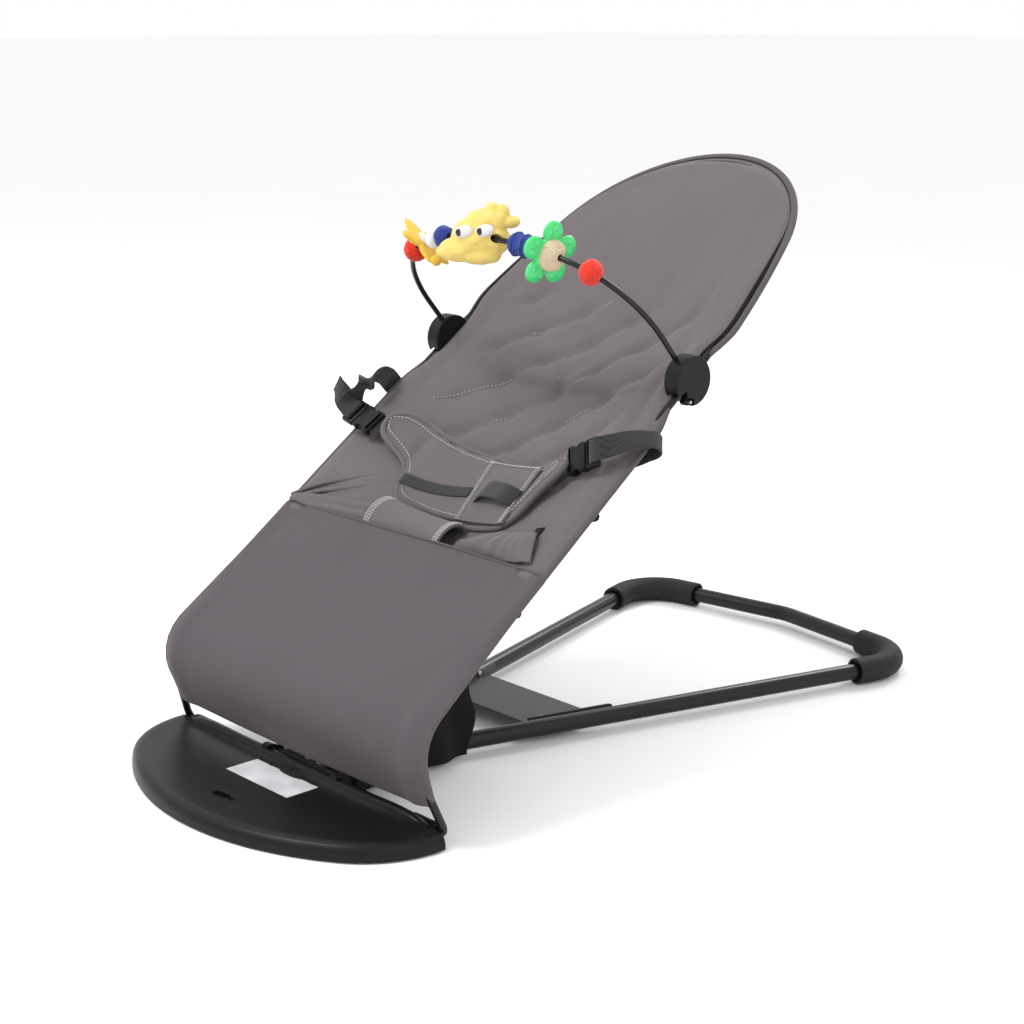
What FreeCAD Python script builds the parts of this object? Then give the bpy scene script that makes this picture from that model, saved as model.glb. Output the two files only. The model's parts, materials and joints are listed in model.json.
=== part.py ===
import FreeCAD, Part

# Folding bouncer seat for a baby: a sprung wire seat loop with a padded fabric cover,
# hinged on a moulded foot plate, a tubular base frame, a support bow under the seat,
# a waist harness with two buckles, and a toy bar clamped to the seat loop.
#
# Row frame in millimetres. +Z is up, -Y is the front (foot plate), X runs across.
# The origin lies on the floor under the centre of the whole object.
# Most shapes are placed from the foot plate's rear ridge (ridge_y) or, on the seat,
# from a slope plane: x across, u up the slope from the thigh seam, n out of the seat.

import math
import os

from FreeCAD import Vector

# ---- driving dimensions ----------------------------------------------------------

ridge_y = -270.56

# foot plate
plate_half_width = 189.6
plate_depth = 124.5
plate_side_radius = 95.0
plate_height = 15.0
plate_floor_gap = 1.0
plate_wall = 3.0
plate_rim_radius = 8.0
dish_depth = 3.0
dish_inset = 14.0
dish_rear = 9.0
dish_fillet = 2.0
ridge_radius = 5.0
ridge_height = 16.0
ridge_half_length = 158.0
slot_length = 28.0
slot_width = 10.0
slot_y = ridge_y - 82.0
label_size = (88.0, 33.0, 0.4)
label_centre = (-5.0, ridge_y - 29.0)
foot_pad_radius = 16.0
foot_pad_places = ((-120.0, -48.0), (120.0, -48.0), (0.0, -104.0))

# hinge between the foot plate and the seat loop
pivot_y = ridge_y + 7.0
pivot_z = 8.5
boss_radius = 7.5
boss_inner_x = 140.0
boss_outer_x = 171.0
bush_radius = 5.4
pivot_clearance = 0.05

# base frame
tube_radius = 8.0
tube_wall = 1.2
tube_z = 13.0
tube_front_x = 44.0
tube_start_y = ridge_y + 22.0
tube_knee_y = ridge_y + 146.0
rear_half_width = 188.5
rear_corner_y = ridge_y + 629.7
rear_bow_y = ridge_y + 658.4
knee_bend = 60.0
rear_corner_bend = 45.0
rear_bow_bend = 60.0
sleeve_radius = 13.0
sleeve_end_y = ridge_y + 560.5
sleeve_end_x = 114.9
sleeve_mouth_radius = 10.6
sleeve_gap = 0.05
sleeve_mouth_depth = 3.0

# cross plate between the side tubes
cross_front_y = ridge_y + 217.0
cross_rear_y = ridge_y + 281.0
cross_flange_rear_y = ridge_y + 302.0
cross_z = 14.0
cross_thickness = 1.6
cross_flange_height = 7.0
rivet_radius = 2.6
rivet_height = 1.6

# hinge bracket behind the ridge
bracket_half_width = 47.0
bracket_front_y = ridge_y + 5.3
bracket_rear_y = ridge_y + 21.8
bracket_top_z = 18.0
clip_x = 49.0
clip_width = 8.0

# support bow
bow_radius = 3.5
bow_half_width = 36.0
bow_foot_y = ridge_y + 130.0
bow_foot_z = 27.0
bow_length = 136.0
bow_bend = 9.0
bow_stub_x = 51.0
bow_stub_bend = 5.0
lug_inner_x = 42.0
lug_outer_x = 50.0

# seat slope plane
slope_deg = 36.2
seam_y = ridge_y + 120.0
seam_z = 197.0

# seat loop
wire_radius = 3.5
loop_floor_x = 183.0
loop_floor_bend = 9.0
loop_knee_x = 168.0
loop_knee_y = ridge_y - 23.1
loop_knee_z = 92.7
loop_knee_bend = 42.0
crown_u = 520.0
crown_radius = 136.0
crown_deg = 75.24
shoulder_radius = 845.0
shoulder_deg = 88.92
channel_radius = 5.0
channel_bore = 3.7

# seat fabric
fabric_gap = 0.6
seat_sag = 28.0
head_sag = 4.0
sag_level_u = 150.0
pad_thickness = 12.0
pad_edge = 6.0
pad_half_width = 157.0
pad_start_u = -40.0
leg_thickness = 3.0
leg_half_width = 156.0
leg_top_u = 4.0
hem_z = 38.0
skirt_x = 53.2
skirt_thickness = 2.0

# recline rack and crossbars under the seat
crossbar_radius = 3.0
crossbar_n = -47.6
crossbar_end_n = -9.0
crossbar_flat_x = 62.0
crossbar_places = (-30.0, 82.0)
rack_half_width = 28.0
rack_top_n = -41.2
rack_thickness = 3.3
rack_tooth = 2.0
rack_tooth_places = (16.5, 38.8, 53.3, 64.0)

# harness
bib_gap = 0.5
bib_thickness = 8.0
webbing_width = 21.0
webbing_thickness = 1.6
buckle_length = 36.0
buckle_width = 27.0
buckle_thickness = 9.0
socket_length = 20.5
buckle_tilt_deg = (0.0, 31.0)
plug_gap = 0.4

# toy bar
bar_radius = 2.5
bar_u = 240.5
bar_n = 11.2
bar_lean_deg = 4.0
bar_height = 142.7
bar_crown_radius = 261.0
bar_crown_deg = 21.6
bar_corner_radius = 93.0
bar_foot_h = -3.0
clamp_radius = 22.5
clamp_inner_x = 150.5
clamp_outer_x = 166.0
clamp_u = 238.0
clamp_n = 1.5
clamp_bore = 7.0
clamp_split = 0.2
jaw_hinge = (-13.3, -13.3)
knuckle_radius = 3.6
jaw_pin_radius = 1.3
bead_bore = 3.3
plush_bore = 6.0

slope = math.radians(slope_deg)
X = Vector(1, 0, 0)
Y = Vector(0, 1, 0)
Z = Vector(0, 0, 1)
UP_SLOPE = Vector(0, math.cos(slope), math.sin(slope))
OUT = Vector(0, -math.sin(slope), math.cos(slope))
SIDES = (("left", -1), ("right", 1))


# ---- helpers ---------------------------------------------------------------------

def seat_point(x, u, n):
    """A point given in the seat's slope plane."""
    return Vector(x, seam_y, seam_z) + UP_SLOPE * u + OUT * n


def seat_direction(x, u, n):
    """A unit direction given in the seat's slope plane."""
    direction = X * x + UP_SLOPE * u + OUT * n
    return direction.normalize()


def mirrored(shape):
    """The same shape on the other side of the object."""
    return shape.mirror(Vector(0, 0, 0), X)


def on_side(shape, side):
    return shape if side > 0 else mirrored(shape)


def rounded_path(points, radii):
    """Edges of a polyline whose inner corners are tangent arcs."""
    edges = []
    start = points[0]
    for corner, after, radius in zip(points[1:-1], points[2:], radii):
        back = (start - corner).normalize()
        ahead = (after - corner).normalize()
        half = back.getAngle(ahead) / 2
        reach = radius / math.tan(half)
        middle = (back + ahead).normalize()
        arc_start = corner + back * reach
        arc_end = corner + ahead * reach
        arc_middle = corner + middle * (radius / math.sin(half) - radius)
        edges.append(Part.makeLine(start, arc_start))
        edges.append(Part.Arc(arc_start, arc_middle, arc_end).toShape())
        start = arc_end
    edges.append(Part.makeLine(start, points[-1]))
    return edges


def rod(edges, radius):
    """A round rod along a path of tangent edges."""
    path = Part.Wire(edges)
    first = path.OrderedEdges[0]
    start = first.valueAt(first.FirstParameter)
    tangent = first.tangentAt(first.FirstParameter)
    if first.Orientation == "Reversed":
        start = first.valueAt(first.LastParameter)
        tangent = first.tangentAt(first.LastParameter) * -1
    ring = Part.Wire([Part.Circle(start, tangent, radius).toShape()])
    solid = path.makePipeShell([ring], True, False)
    if solid.Volume < 0:
        solid.reverse()
    return solid


def cylinder(start, end, radius):
    return Part.makeCylinder(radius, (end - start).Length, start, end - start)


def ring(start, end, outer, inner):
    return cylinder(start, end, outer).cut(cylinder(start, end, inner))


def prism(points, sweep):
    """A solid swept from a closed outline of points."""
    outline = Part.makePolygon(list(points) + [points[0]])
    return Part.Face(outline).extrude(sweep)


def box(low, high):
    size = high - low
    return Part.makeBox(size.x, size.y, size.z, low)


def seat_box(low, high):
    """A box in the slope plane's own directions."""
    corners = [
        seat_point(low[0], low[1], low[2]),
        seat_point(high[0], low[1], low[2]),
        seat_point(high[0], high[1], low[2]),
        seat_point(low[0], high[1], low[2]),
    ]
    return prism(corners, OUT * (high[2] - low[2]))


def single(shape):
    """The one solid of a shape that should hold only one."""
    solids = shape.Solids
    return max(solids, key=lambda solid: solid.Volume)


# ---- foot plate ------------------------------------------------------------------

def plate_outline(inset, rear, z):
    """The foot plate's outline: three tangent arcs taken in by inset, and a straight rear edge."""
    side_x = plate_half_width - plate_side_radius
    front_radius = side_x ** 2 + plate_depth ** 2 - plate_side_radius ** 2
    front_radius /= 2 * (plate_depth - plate_side_radius)
    front_y = ridge_y - plate_depth + inset
    turn = math.asin(side_x / (front_radius - plate_side_radius))
    end = math.acos(rear / (plate_side_radius - inset))

    def place(side, angle):
        radius = plate_side_radius - inset
        x = side_x + radius * math.sin(angle)
        return Vector(side * x, ridge_y - radius * math.cos(angle), z)

    left = Part.Arc(place(-1, end), place(-1, (end + turn) / 2), place(-1, turn))
    front = Part.Arc(place(-1, turn), Vector(0, front_y, z), place(1, turn))
    right = Part.Arc(place(1, turn), place(1, (end + turn) / 2), place(1, end))
    back = Part.makeLine(place(1, end), place(-1, end))
    return Part.Face(Part.Wire([left.toShape(), front.toShape(), right.toShape(), back]))


def foot_plate():
    shell = plate_outline(0, 0, plate_floor_gap).extrude(Z * (plate_height - plate_floor_gap))
    rim = [edge for edge in shell.Edges
           if edge.BoundBox.ZMin > plate_height - 0.1 and edge.BoundBox.YLength > 1]
    shell = shell.makeFillet(plate_rim_radius, rim)
    dish_z = plate_height - dish_depth
    dish = plate_outline(dish_inset, dish_rear, dish_z).extrude(Z * 20)
    dish_floor = [edge for edge in dish.Edges if edge.BoundBox.ZMax < dish_z + 0.1]
    shell = shell.cut(dish.makeFillet(dish_fillet, dish_floor))
    hollow_height = dish_z - plate_wall
    shell = shell.cut(plate_outline(plate_wall + 2, plate_wall, 0).extrude(Z * hollow_height))
    wall = prism([
        Vector(-ridge_half_length, ridge_y - dish_rear - 1, dish_z - 1),
        Vector(-ridge_half_length, ridge_y, plate_floor_gap + 1),
        Vector(-ridge_half_length, ridge_y + 4, plate_floor_gap + 1),
        Vector(-ridge_half_length, ridge_y + 4, ridge_height),
        Vector(-ridge_half_length, ridge_y, ridge_height + ridge_radius - 0.5),
    ], X * (2 * ridge_half_length))
    ridge = cylinder(Vector(-ridge_half_length, ridge_y, ridge_height),
                     Vector(ridge_half_length, ridge_y, ridge_height), ridge_radius)
    plate = shell.fuse([wall, ridge] + foot_ribs(hollow_height)).cut(foot_slot())
    for side in (-1, 1):
        inner = Vector(side * boss_inner_x, pivot_y, pivot_z)
        outer = Vector(side * boss_outer_x, pivot_y, pivot_z)
        web = prism([inner + Vector(0, -20, -6), inner + Vector(0, 0, -boss_radius + 0.1),
                     inner + Vector(0, 0, boss_radius - 0.1), inner + Vector(0, -20, 0)],
                    outer - inner)
        bore = cylinder(inner - X * side, outer + X * side, bush_radius + pivot_clearance)
        plate = plate.fuse([cylinder(inner, outer, boss_radius), web]).cut(bore)
    return single(plate.removeSplitter())


def foot_ribs(height):
    """Stiffening ribs under the dish."""
    ribs = []
    for x in (-75.0, -36.0, 36.0, 75.0):
        reach = plate_depth * math.sqrt(1 - (x / plate_half_width) ** 2) - 8
        ribs.append(box(Vector(x - 1.2, ridge_y - reach, plate_floor_gap + 2),
                        Vector(x + 1.2, ridge_y - 4, height + 1)))
    return ribs


def foot_slot():
    """The oval hole through the dish, a finger hold."""
    end = slot_length / 2 - slot_width / 2
    slot = box(Vector(-end, slot_y - slot_width / 2, -1), Vector(end, slot_y + slot_width / 2, 30))
    for side in (-1, 1):
        slot = slot.fuse(Part.makeCylinder(slot_width / 2, 31, Vector(side * end, slot_y, -1)))
    return slot


def plate_pads():
    """Rubber feet that carry the front of the seat."""
    pads = []
    plate = foot_plate()
    height = plate_height - dish_depth - plate_wall
    for x, y in foot_pad_places:
        pad = Part.makeCylinder(foot_pad_radius, height, Vector(x, ridge_y + y, 0))
        lower = [edge for edge in pad.Edges if edge.BoundBox.ZMax < 0.1]
        pads.append(single(pad.makeFillet(1.5, lower).cut(plate)))
    return Part.makeCompound(pads)


def label_plate():
    width, depth, thickness = label_size
    x, y = label_centre
    low = Vector(x - width / 2, y - depth / 2, plate_height - dish_depth)
    return box(low, low + Vector(width, depth, thickness))


def pivot_bush(side):
    """Plastic bush that turns in the foot plate's boss and holds the loop's end."""
    body = cylinder(Vector(boss_inner_x, pivot_y, pivot_z),
                    Vector(boss_outer_x + 0.6, pivot_y, pivot_z), bush_radius)
    flange = cylinder(Vector(boss_outer_x + 0.4, pivot_y, pivot_z),
                      Vector(boss_outer_x + 1.8, pivot_y, pivot_z), boss_radius - 0.5)
    bore = cylinder(Vector(boss_inner_x - 1, pivot_y, pivot_z),
                    Vector(boss_outer_x + 3, pivot_y, pivot_z), wire_radius + pivot_clearance)
    return on_side(body.fuse(flange).cut(bore), side)


# ---- base frame ------------------------------------------------------------------

def base_points():
    """Corner points of the base tube's centre line, from left end to right end."""
    right = [
        Vector(rear_half_width, rear_corner_y, tube_z),
        Vector(tube_front_x, tube_knee_y, tube_z),
        Vector(tube_front_x, tube_start_y, tube_z),
    ]
    left = [Vector(-point.x, point.y, point.z) for point in reversed(right)]
    return left + [Vector(0, rear_bow_y, tube_z)] + right


def base_tube():
    bends = [knee_bend, rear_corner_bend, rear_bow_bend, rear_corner_bend, knee_bend]
    edges = rounded_path(base_points(), bends)
    return single(rod(edges, tube_radius).cut(rod(edges, tube_radius - tube_wall)))


def sleeve_path():
    knee = Vector(tube_front_x, tube_knee_y, tube_z)
    corner = Vector(rear_half_width, rear_corner_y, tube_z)
    bow = Vector(0, rear_bow_y, tube_z)
    along = (sleeve_end_y - knee.y) / (corner.y - knee.y)
    across = sleeve_end_x / rear_half_width
    return [knee + (corner - knee) * along, corner, bow + (corner - bow) * across]


def corner_sleeve(side):
    """Thick rubber sleeve round a rear corner of the tube."""
    points = sleeve_path()
    edges = rounded_path(points, [rear_corner_bend])
    sleeve = rod(edges, sleeve_radius).cut(rod(edges, tube_radius + sleeve_gap))
    for end, inner in ((points[0], points[1]), (points[2], points[1])):
        inward = (inner - end).normalize()
        sleeve = sleeve.cut(cylinder(end - inward, end + inward * sleeve_mouth_depth,
                                     sleeve_mouth_radius))
    return on_side(single(sleeve), side)


def tube_x(y):
    """Centre line of the right side tube at a distance from the front."""
    share = (y - tube_knee_y) / (rear_corner_y - tube_knee_y)
    return tube_front_x + (rear_half_width - tube_front_x) * share


def cross_plate():
    """Flat strip between the side tubes, with a raised flange along each tube."""
    inset = tube_radius + 0.5
    front = tube_x(cross_front_y) - inset
    rear = tube_x(cross_rear_y) - inset
    flange_rear = tube_x(cross_flange_rear_y) - inset
    strip = prism([
        Vector(-front, cross_front_y, cross_z),
        Vector(front, cross_front_y, cross_z),
        Vector(rear, cross_rear_y, cross_z),
        Vector(-rear, cross_rear_y, cross_z),
    ], Z * cross_thickness)
    pieces = [strip]
    for side in (-1, 1):
        flange = prism([
            Vector(side * front, cross_front_y, cross_z),
            Vector(side * (front - cross_thickness), cross_front_y, cross_z),
            Vector(side * (flange_rear - cross_thickness), cross_flange_rear_y, cross_z),
            Vector(side * flange_rear, cross_flange_rear_y, cross_z),
        ], Z * cross_flange_height)
        rounded = [edge for edge in flange.Edges
                   if edge.BoundBox.YMin > cross_flange_rear_y - 0.1
                   and edge.BoundBox.ZMin > cross_z + 1]
        pieces.append(flange.makeFillet(4.0, rounded))
    return single(pieces[0].fuse(pieces[1:]).removeSplitter())


def cross_rivets():
    """Rivets that fix the cross plate's flanges to the side tubes."""
    run = Vector(rear_half_width - tube_front_x, rear_corner_y - tube_knee_y, 0).normalize()
    rivets = []
    for y in (cross_front_y + 14, cross_rear_y - 10):
        face_x = tube_x(y) - tube_radius - 0.5 - cross_thickness
        for side in (-1, 1):
            start = Vector(side * face_x, y, cross_z + cross_flange_height / 2 + 0.9)
            inward = Vector(-side * run.y, run.x, 0)
            head = Part.makeCylinder(rivet_radius, rivet_height, start, inward)
            rim = [edge for edge in head.Edges
                   if (edge.CenterOfMass - start).dot(inward) > rivet_height - 0.1
                   and edge.Length > 3 * rivet_radius]
            rivets.append(head.makeFillet(0.8, rim))
    return Part.makeCompound(rivets)


def hinge_bracket():
    """Centre bracket that joins the foot plate to the base tube's two ends."""
    block = box(Vector(-bracket_half_width, bracket_front_y, 3),
                Vector(bracket_half_width, bracket_rear_y, bracket_top_z))
    long_edges = [edge for edge in block.Edges
                  if edge.BoundBox.XLength > 50 and edge.BoundBox.ZMin > 10]
    block = block.makeFillet(2.5, long_edges)
    window = box(Vector(16, bracket_front_y + 5, 8), Vector(38, bracket_rear_y - 5, 30))
    block = block.cut(window)
    for side in (-1, 1):
        block = block.cut(cylinder(Vector(side * (clip_x - clip_width / 2 - 0.3), ridge_y, ridge_height),
                                   Vector(side * (bracket_half_width + 1), ridge_y, ridge_height),
                                   ridge_radius + 3.3))
        spigot = cylinder(Vector(side * tube_front_x, bracket_rear_y - 2, tube_z),
                          Vector(side * tube_front_x, bracket_rear_y + 26, tube_z),
                          tube_radius - tube_wall - 0.05)
        shoulder = cylinder(Vector(side * tube_front_x, bracket_rear_y - 2.5, tube_z),
                            Vector(side * tube_front_x, bracket_rear_y, tube_z),
                            tube_radius)
        block = block.fuse([spigot, shoulder])
    return single(block.removeSplitter())


def ridge_clip(side):
    """Hooked clip that snaps over the ridge and holds the bracket."""
    low = clip_x - clip_width / 2
    high = clip_x + clip_width / 2
    hook = ring(Vector(low, ridge_y, ridge_height), Vector(high, ridge_y, ridge_height),
                ridge_radius + 3.2, ridge_radius + 0.1)
    lower = box(Vector(low - 1, ridge_y - 20, -5), Vector(high + 1, ridge_y + 20, ridge_height))
    front = box(Vector(low - 1, ridge_y - 20, 0), Vector(high + 1, ridge_y - 4, 40))
    tongue = box(Vector(low, ridge_y + ridge_radius - 1.2, bracket_top_z + 0.1),
                 Vector(high - 3, bracket_rear_y - 3, bracket_top_z + 3.0))
    bar = cylinder(Vector(low - 1, ridge_y, ridge_height), Vector(high + 1, ridge_y, ridge_height),
                   ridge_radius + 0.1)
    clip = hook.cut(lower).cut(front).fuse(tongue).cut(bar)
    return on_side(single(clip), side)


def bracket_screws():
    screws = []
    for x in (-40.0, -8.0, 8.0):
        place = Vector(x, (bracket_front_y + bracket_rear_y) / 2, bracket_top_z)
        head = Part.makeCylinder(3.2, 1.6, place)
        top = [edge for edge in head.Edges if edge.BoundBox.ZMin > bracket_top_z + 1.5]
        head = head.makeFillet(0.7, top)
        recess = Part.makeBox(4.4, 1.0, 1.0, place + Vector(-2.2, -0.5, 1.0))
        screws.append(head.cut(recess))
    return Part.makeCompound(screws)


def bow_lug(side):
    """Saddle on the side tube that holds the foot of the support bow."""
    block = box(Vector(lug_inner_x, bow_foot_y - 10, tube_z),
                Vector(lug_outer_x, bow_foot_y + 10, bow_foot_z + 6.5))
    top = [edge for edge in block.Edges
           if edge.BoundBox.ZMin > bow_foot_z + 6 and edge.BoundBox.XLength > 5]
    block = block.makeFillet(5.5, top)
    tube = cylinder(Vector(tube_front_x, bow_foot_y - 20, tube_z),
                    Vector(tube_front_x, bow_foot_y + 20, tube_z), tube_radius)
    hole = cylinder(Vector(30, bow_foot_y, bow_foot_z), Vector(60, bow_foot_y, bow_foot_z),
                    bow_radius + pivot_clearance)
    return on_side(single(block.cut(tube).cut(hole)), side)


# ---- support bow -----------------------------------------------------------------

def bow_angle():
    """Elevation of the bow's legs when its top bar sits in the upper notch."""
    hinge = Vector(0, pivot_y, pivot_z)
    foot = Vector(0, bow_foot_y, bow_foot_z) - hinge
    plane = (Vector(0, loop_knee_y, loop_knee_z) - hinge).dot(OUT)
    bar = plane + bow_bar_n()
    along = foot.dot(UP_SLOPE) + math.sqrt(bow_length ** 2 - (bar - foot.dot(OUT)) ** 2)
    top = hinge + UP_SLOPE * along + OUT * bar
    return math.atan2(top.z - bow_foot_z, top.y - bow_foot_y)


def bow_bar_n():
    """Height of the bow's top bar in the seat's plane, clear of the rack."""
    return rack_top_n - rack_thickness - 8.0 - bow_radius


def support_bow():
    angle = bow_angle()
    foot = Vector(0, bow_foot_y, bow_foot_z)
    top = foot + Vector(0, math.cos(angle), math.sin(angle)) * bow_length
    points = [foot - X * bow_stub_x, foot - X * bow_half_width, top - X * bow_half_width,
              top + X * bow_half_width, foot + X * bow_half_width, foot + X * bow_stub_x]
    return rod(rounded_path(points, [bow_stub_bend, bow_bend, bow_bend, bow_stub_bend]),
               bow_radius)


# ---- seat loop -------------------------------------------------------------------

def head_place(angle, inset=0.0):
    """Outline of the seat loop's head, by its direction angle, as (x, u)."""
    crown = math.radians(crown_deg)
    radius = crown_radius - inset
    if angle <= crown:
        return radius * math.sin(angle), crown_u - crown_radius + radius * math.cos(angle)
    shoulder = shoulder_radius - inset
    gap = shoulder_radius - crown_radius
    centre_x = -gap * math.sin(crown)
    centre_u = crown_u - crown_radius - gap * math.cos(crown)
    return centre_x + shoulder * math.sin(angle), centre_u + shoulder * math.cos(angle)


def head_edges(inset=0.0, n=0.0):
    """Right shoulder, crown and left shoulder as three tangent arcs."""
    crown = math.radians(crown_deg)
    shoulder = math.radians(shoulder_deg)
    middle = (crown + shoulder) / 2

    def point(angle, side):
        x, u = head_place(angle, inset)
        return seat_point(side * x, u, n)

    right = Part.Arc(point(shoulder, 1), point(middle, 1), point(crown, 1)).toShape()
    top = Part.Arc(point(crown, 1), point(0, 1), point(crown, -1)).toShape()
    left = Part.Arc(point(crown, -1), point(middle, -1), point(shoulder, -1)).toShape()
    return [right, top, left]


def loop_side_points():
    """Corner points of the loop's right side, from the pivot up to the shoulder."""
    x, u = head_place(math.radians(shoulder_deg))
    return [
        Vector(boss_inner_x + 2, pivot_y, pivot_z),
        Vector(loop_floor_x, pivot_y, pivot_z),
        Vector(loop_knee_x, loop_knee_y, loop_knee_z),
        seat_point(x, u, 0),
    ]


def seat_loop():
    """The sprung steel wire that carries the whole seat."""
    right = rounded_path(loop_side_points(), [loop_floor_bend, loop_knee_bend])
    left = [mirrored(edge) for edge in reversed(right)]
    return rod(right + head_edges() + left, wire_radius)


def edge_channel():
    """The cover's sewn edge channel, a soft tube round the wire."""
    points = loop_side_points()
    leg = points[2] - points[1]
    start = points[1] + leg * ((hem_z - points[1].z) / leg.z)
    right = rounded_path([start] + points[2:], [loop_knee_bend])
    left = [mirrored(edge) for edge in reversed(right)]
    edges = right + head_edges() + left
    return single(rod(edges, channel_radius).cut(rod(edges, channel_bore)))


# ---- seat fabric -----------------------------------------------------------------

def sag_section(u, sag, top, thickness, edge):
    """One cross section of a slab that sags between the side wires."""
    half = pad_half_width
    upper = Part.Arc(seat_point(-half, u, top), seat_point(0, u, top - sag),
                     seat_point(half, u, top))
    lower = Part.Arc(seat_point(half, u, top - edge), seat_point(0, u, top - sag - thickness),
                     seat_point(-half, u, top - edge))
    return Part.Wire([
        upper.toShape(),
        Part.makeLine(seat_point(half, u, top), seat_point(half, u, top - edge)),
        lower.toShape(),
        Part.makeLine(seat_point(-half, u, top - edge), seat_point(-half, u, top)),
    ])


def sagging_slab(low_u, high_u, top, thickness, edge):
    """A slab that follows the seat's sag, which eases towards the head."""
    sections = []
    for u in (low_u, high_u):
        share = min(max((u - sag_level_u) / (crown_u - sag_level_u), 0), 1)
        sag = seat_sag + (head_sag - seat_sag) * share
        sections.append(sag_section(u, sag, top, thickness, edge))
    return Part.makeLoft(sections, True, True)


def back_pad():
    """The padded back and seat panel between the side wires."""
    inset = channel_radius + fabric_gap
    deep = seat_sag + pad_thickness + 20
    head = head_edges(inset, -deep)
    x, _ = head_place(math.radians(shoulder_deg), inset)
    start = seat_point(x, pad_start_u, -deep)
    end = seat_point(-x, pad_start_u, -deep)
    right = Part.makeLine(start, head[0].valueAt(head[0].FirstParameter))
    left = Part.makeLine(head[2].valueAt(head[2].LastParameter), end)
    outline = Part.Wire([right] + head + [left, Part.makeLine(end, start)])
    column = Part.Face(outline).extrude(OUT * (deep + 20))
    lower = sagging_slab(pad_start_u, sag_level_u, 0, pad_thickness, pad_edge)
    upper = sagging_slab(sag_level_u, crown_u, 0, pad_thickness, pad_edge)
    return single(lower.fuse(upper).common(column))


def leg_panel():
    """The plain fabric sheet from the thigh seam down to the bottom hem."""
    knee = Vector(0, loop_knee_y, loop_knee_z)
    hinge = Vector(0, pivot_y, pivot_z)
    leg_up = (knee - hinge).normalize()
    leg_out = Vector(0, -leg_up.z, leg_up.y)
    join = (leg_out + OUT) * (1 / (1 + leg_out.dot(OUT)))
    outer_top = seat_point(0, leg_top_u, fabric_gap + leg_thickness)
    inner_top = seat_point(0, leg_top_u, fabric_gap)
    hem = hinge + leg_up * ((hem_z - hinge.z) / leg_up.z)
    outer = rounded_path([outer_top, knee + join * (fabric_gap + leg_thickness),
                          hem + leg_out * (fabric_gap + leg_thickness)],
                         [loop_knee_bend + fabric_gap + leg_thickness])
    inner = rounded_path([hem + leg_out * fabric_gap, knee + join * fabric_gap, inner_top],
                         [loop_knee_bend + fabric_gap])
    closing = [
        Part.makeLine(hem + leg_out * (fabric_gap + leg_thickness), hem + leg_out * fabric_gap),
        Part.makeLine(inner_top, outer_top),
    ]
    face = Part.Face(Part.Wire(Part.__sortEdges__(outer + inner + closing)))
    sheet = face.extrude(X * (2 * leg_half_width))
    sheet.translate(X * -leg_half_width)
    return single(sheet)


def skirt(side):
    """Black fabric curtain that covers the support bow's side."""
    outline = [
        (16.0, 4.0), (147.0, 4.0), (147.0, 148.0), (60.0, 86.0), (16.0, 55.0),
    ]
    points = [Vector(skirt_x, ridge_y + y, z) for y, z in outline]
    return on_side(prism(points, X * skirt_thickness), side)


# ---- crossbars and rack under the seat -------------------------------------------

def crossbars(radius=crossbar_radius):
    """Two wires under the seat, hooked on the side wires, that carry the rack."""
    bars = []
    for u in crossbar_places:
        end_x = head_place(math.radians(shoulder_deg))[0] + 1
        points = [
            seat_point(-end_x, u, crossbar_end_n),
            seat_point(-crossbar_flat_x - 30, u, crossbar_n + 4),
            seat_point(-crossbar_flat_x, u, crossbar_n),
            seat_point(crossbar_flat_x, u, crossbar_n),
            seat_point(crossbar_flat_x + 30, u, crossbar_n + 4),
            seat_point(end_x, u, crossbar_end_n),
        ]
        bars.append(rod(rounded_path(points, [30, 30, 30, 30]), radius))
    return Part.makeCompound(bars)


def wire_x(u):
    """Half width of the seat loop at a height on the straight part of the slope."""
    shoulder_x, shoulder_u = head_place(math.radians(shoulder_deg))
    knee_u = (Vector(0, loop_knee_y, loop_knee_z) - Vector(0, seam_y, seam_z)).dot(UP_SLOPE)
    share = (u - knee_u) / (shoulder_u - knee_u)
    return loop_knee_x + (shoulder_x - loop_knee_x) * share


def crossbar_hooks():
    """Plastic hooks that hang the crossbars' ends from the cover's edge channel."""
    hooks = []
    bores = crossbars(crossbar_radius + 0.1)
    end_x = head_place(math.radians(shoulder_deg))[0] + 1
    for u in crossbar_places:
        x = wire_x(u)
        hook = ring(seat_point(x, u - 5, 0), seat_point(x, u + 5, 0), 7.5, channel_radius + 0.1)
        upper = seat_box((x - 20, u - 8, 0.2), (x + 20, u + 8, 20))
        socket = cylinder(seat_point(end_x + 4, u, crossbar_end_n),
                          seat_point(end_x - 9, u, crossbar_end_n - 5.4), 4.8)
        clear = cylinder(seat_point(x, u - 9, 0), seat_point(x, u + 9, 0), channel_radius + 0.1)
        hook = single(hook.cut(upper).fuse(socket).cut(bores).cut(clear))
        hooks += [hook, mirrored(hook)]
    return Part.makeCompound(hooks)


def recline_rack():
    """Plate under the seat with the notches that the bow's top bar rests in."""
    low_u, high_u = crossbar_places
    plate = seat_box((-rack_half_width, low_u - 6, rack_top_n - rack_thickness),
                     (rack_half_width, high_u + 6, rack_top_n))
    pieces = []
    for u in crossbar_places:
        for side in (-1, 1):
            centre = side * (rack_half_width - 8)
            pieces.append(cylinder(seat_point(centre - 6, u, crossbar_n),
                                   seat_point(centre + 6, u, crossbar_n), crossbar_radius + 2.4))
    for u in rack_tooth_places:
        bottom = rack_top_n - rack_thickness - rack_tooth
        pieces.append(seat_box((-rack_half_width, u, bottom),
                               (rack_half_width, u + 3, rack_top_n - 1)))
    rack = plate.fuse(pieces)
    for u in crossbar_places:
        rack = rack.cut(cylinder(seat_point(-60, u, crossbar_n), seat_point(60, u, crossbar_n),
                                 crossbar_radius + 0.1))
    return single(rack.removeSplitter())


# ---- harness ---------------------------------------------------------------------

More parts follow.
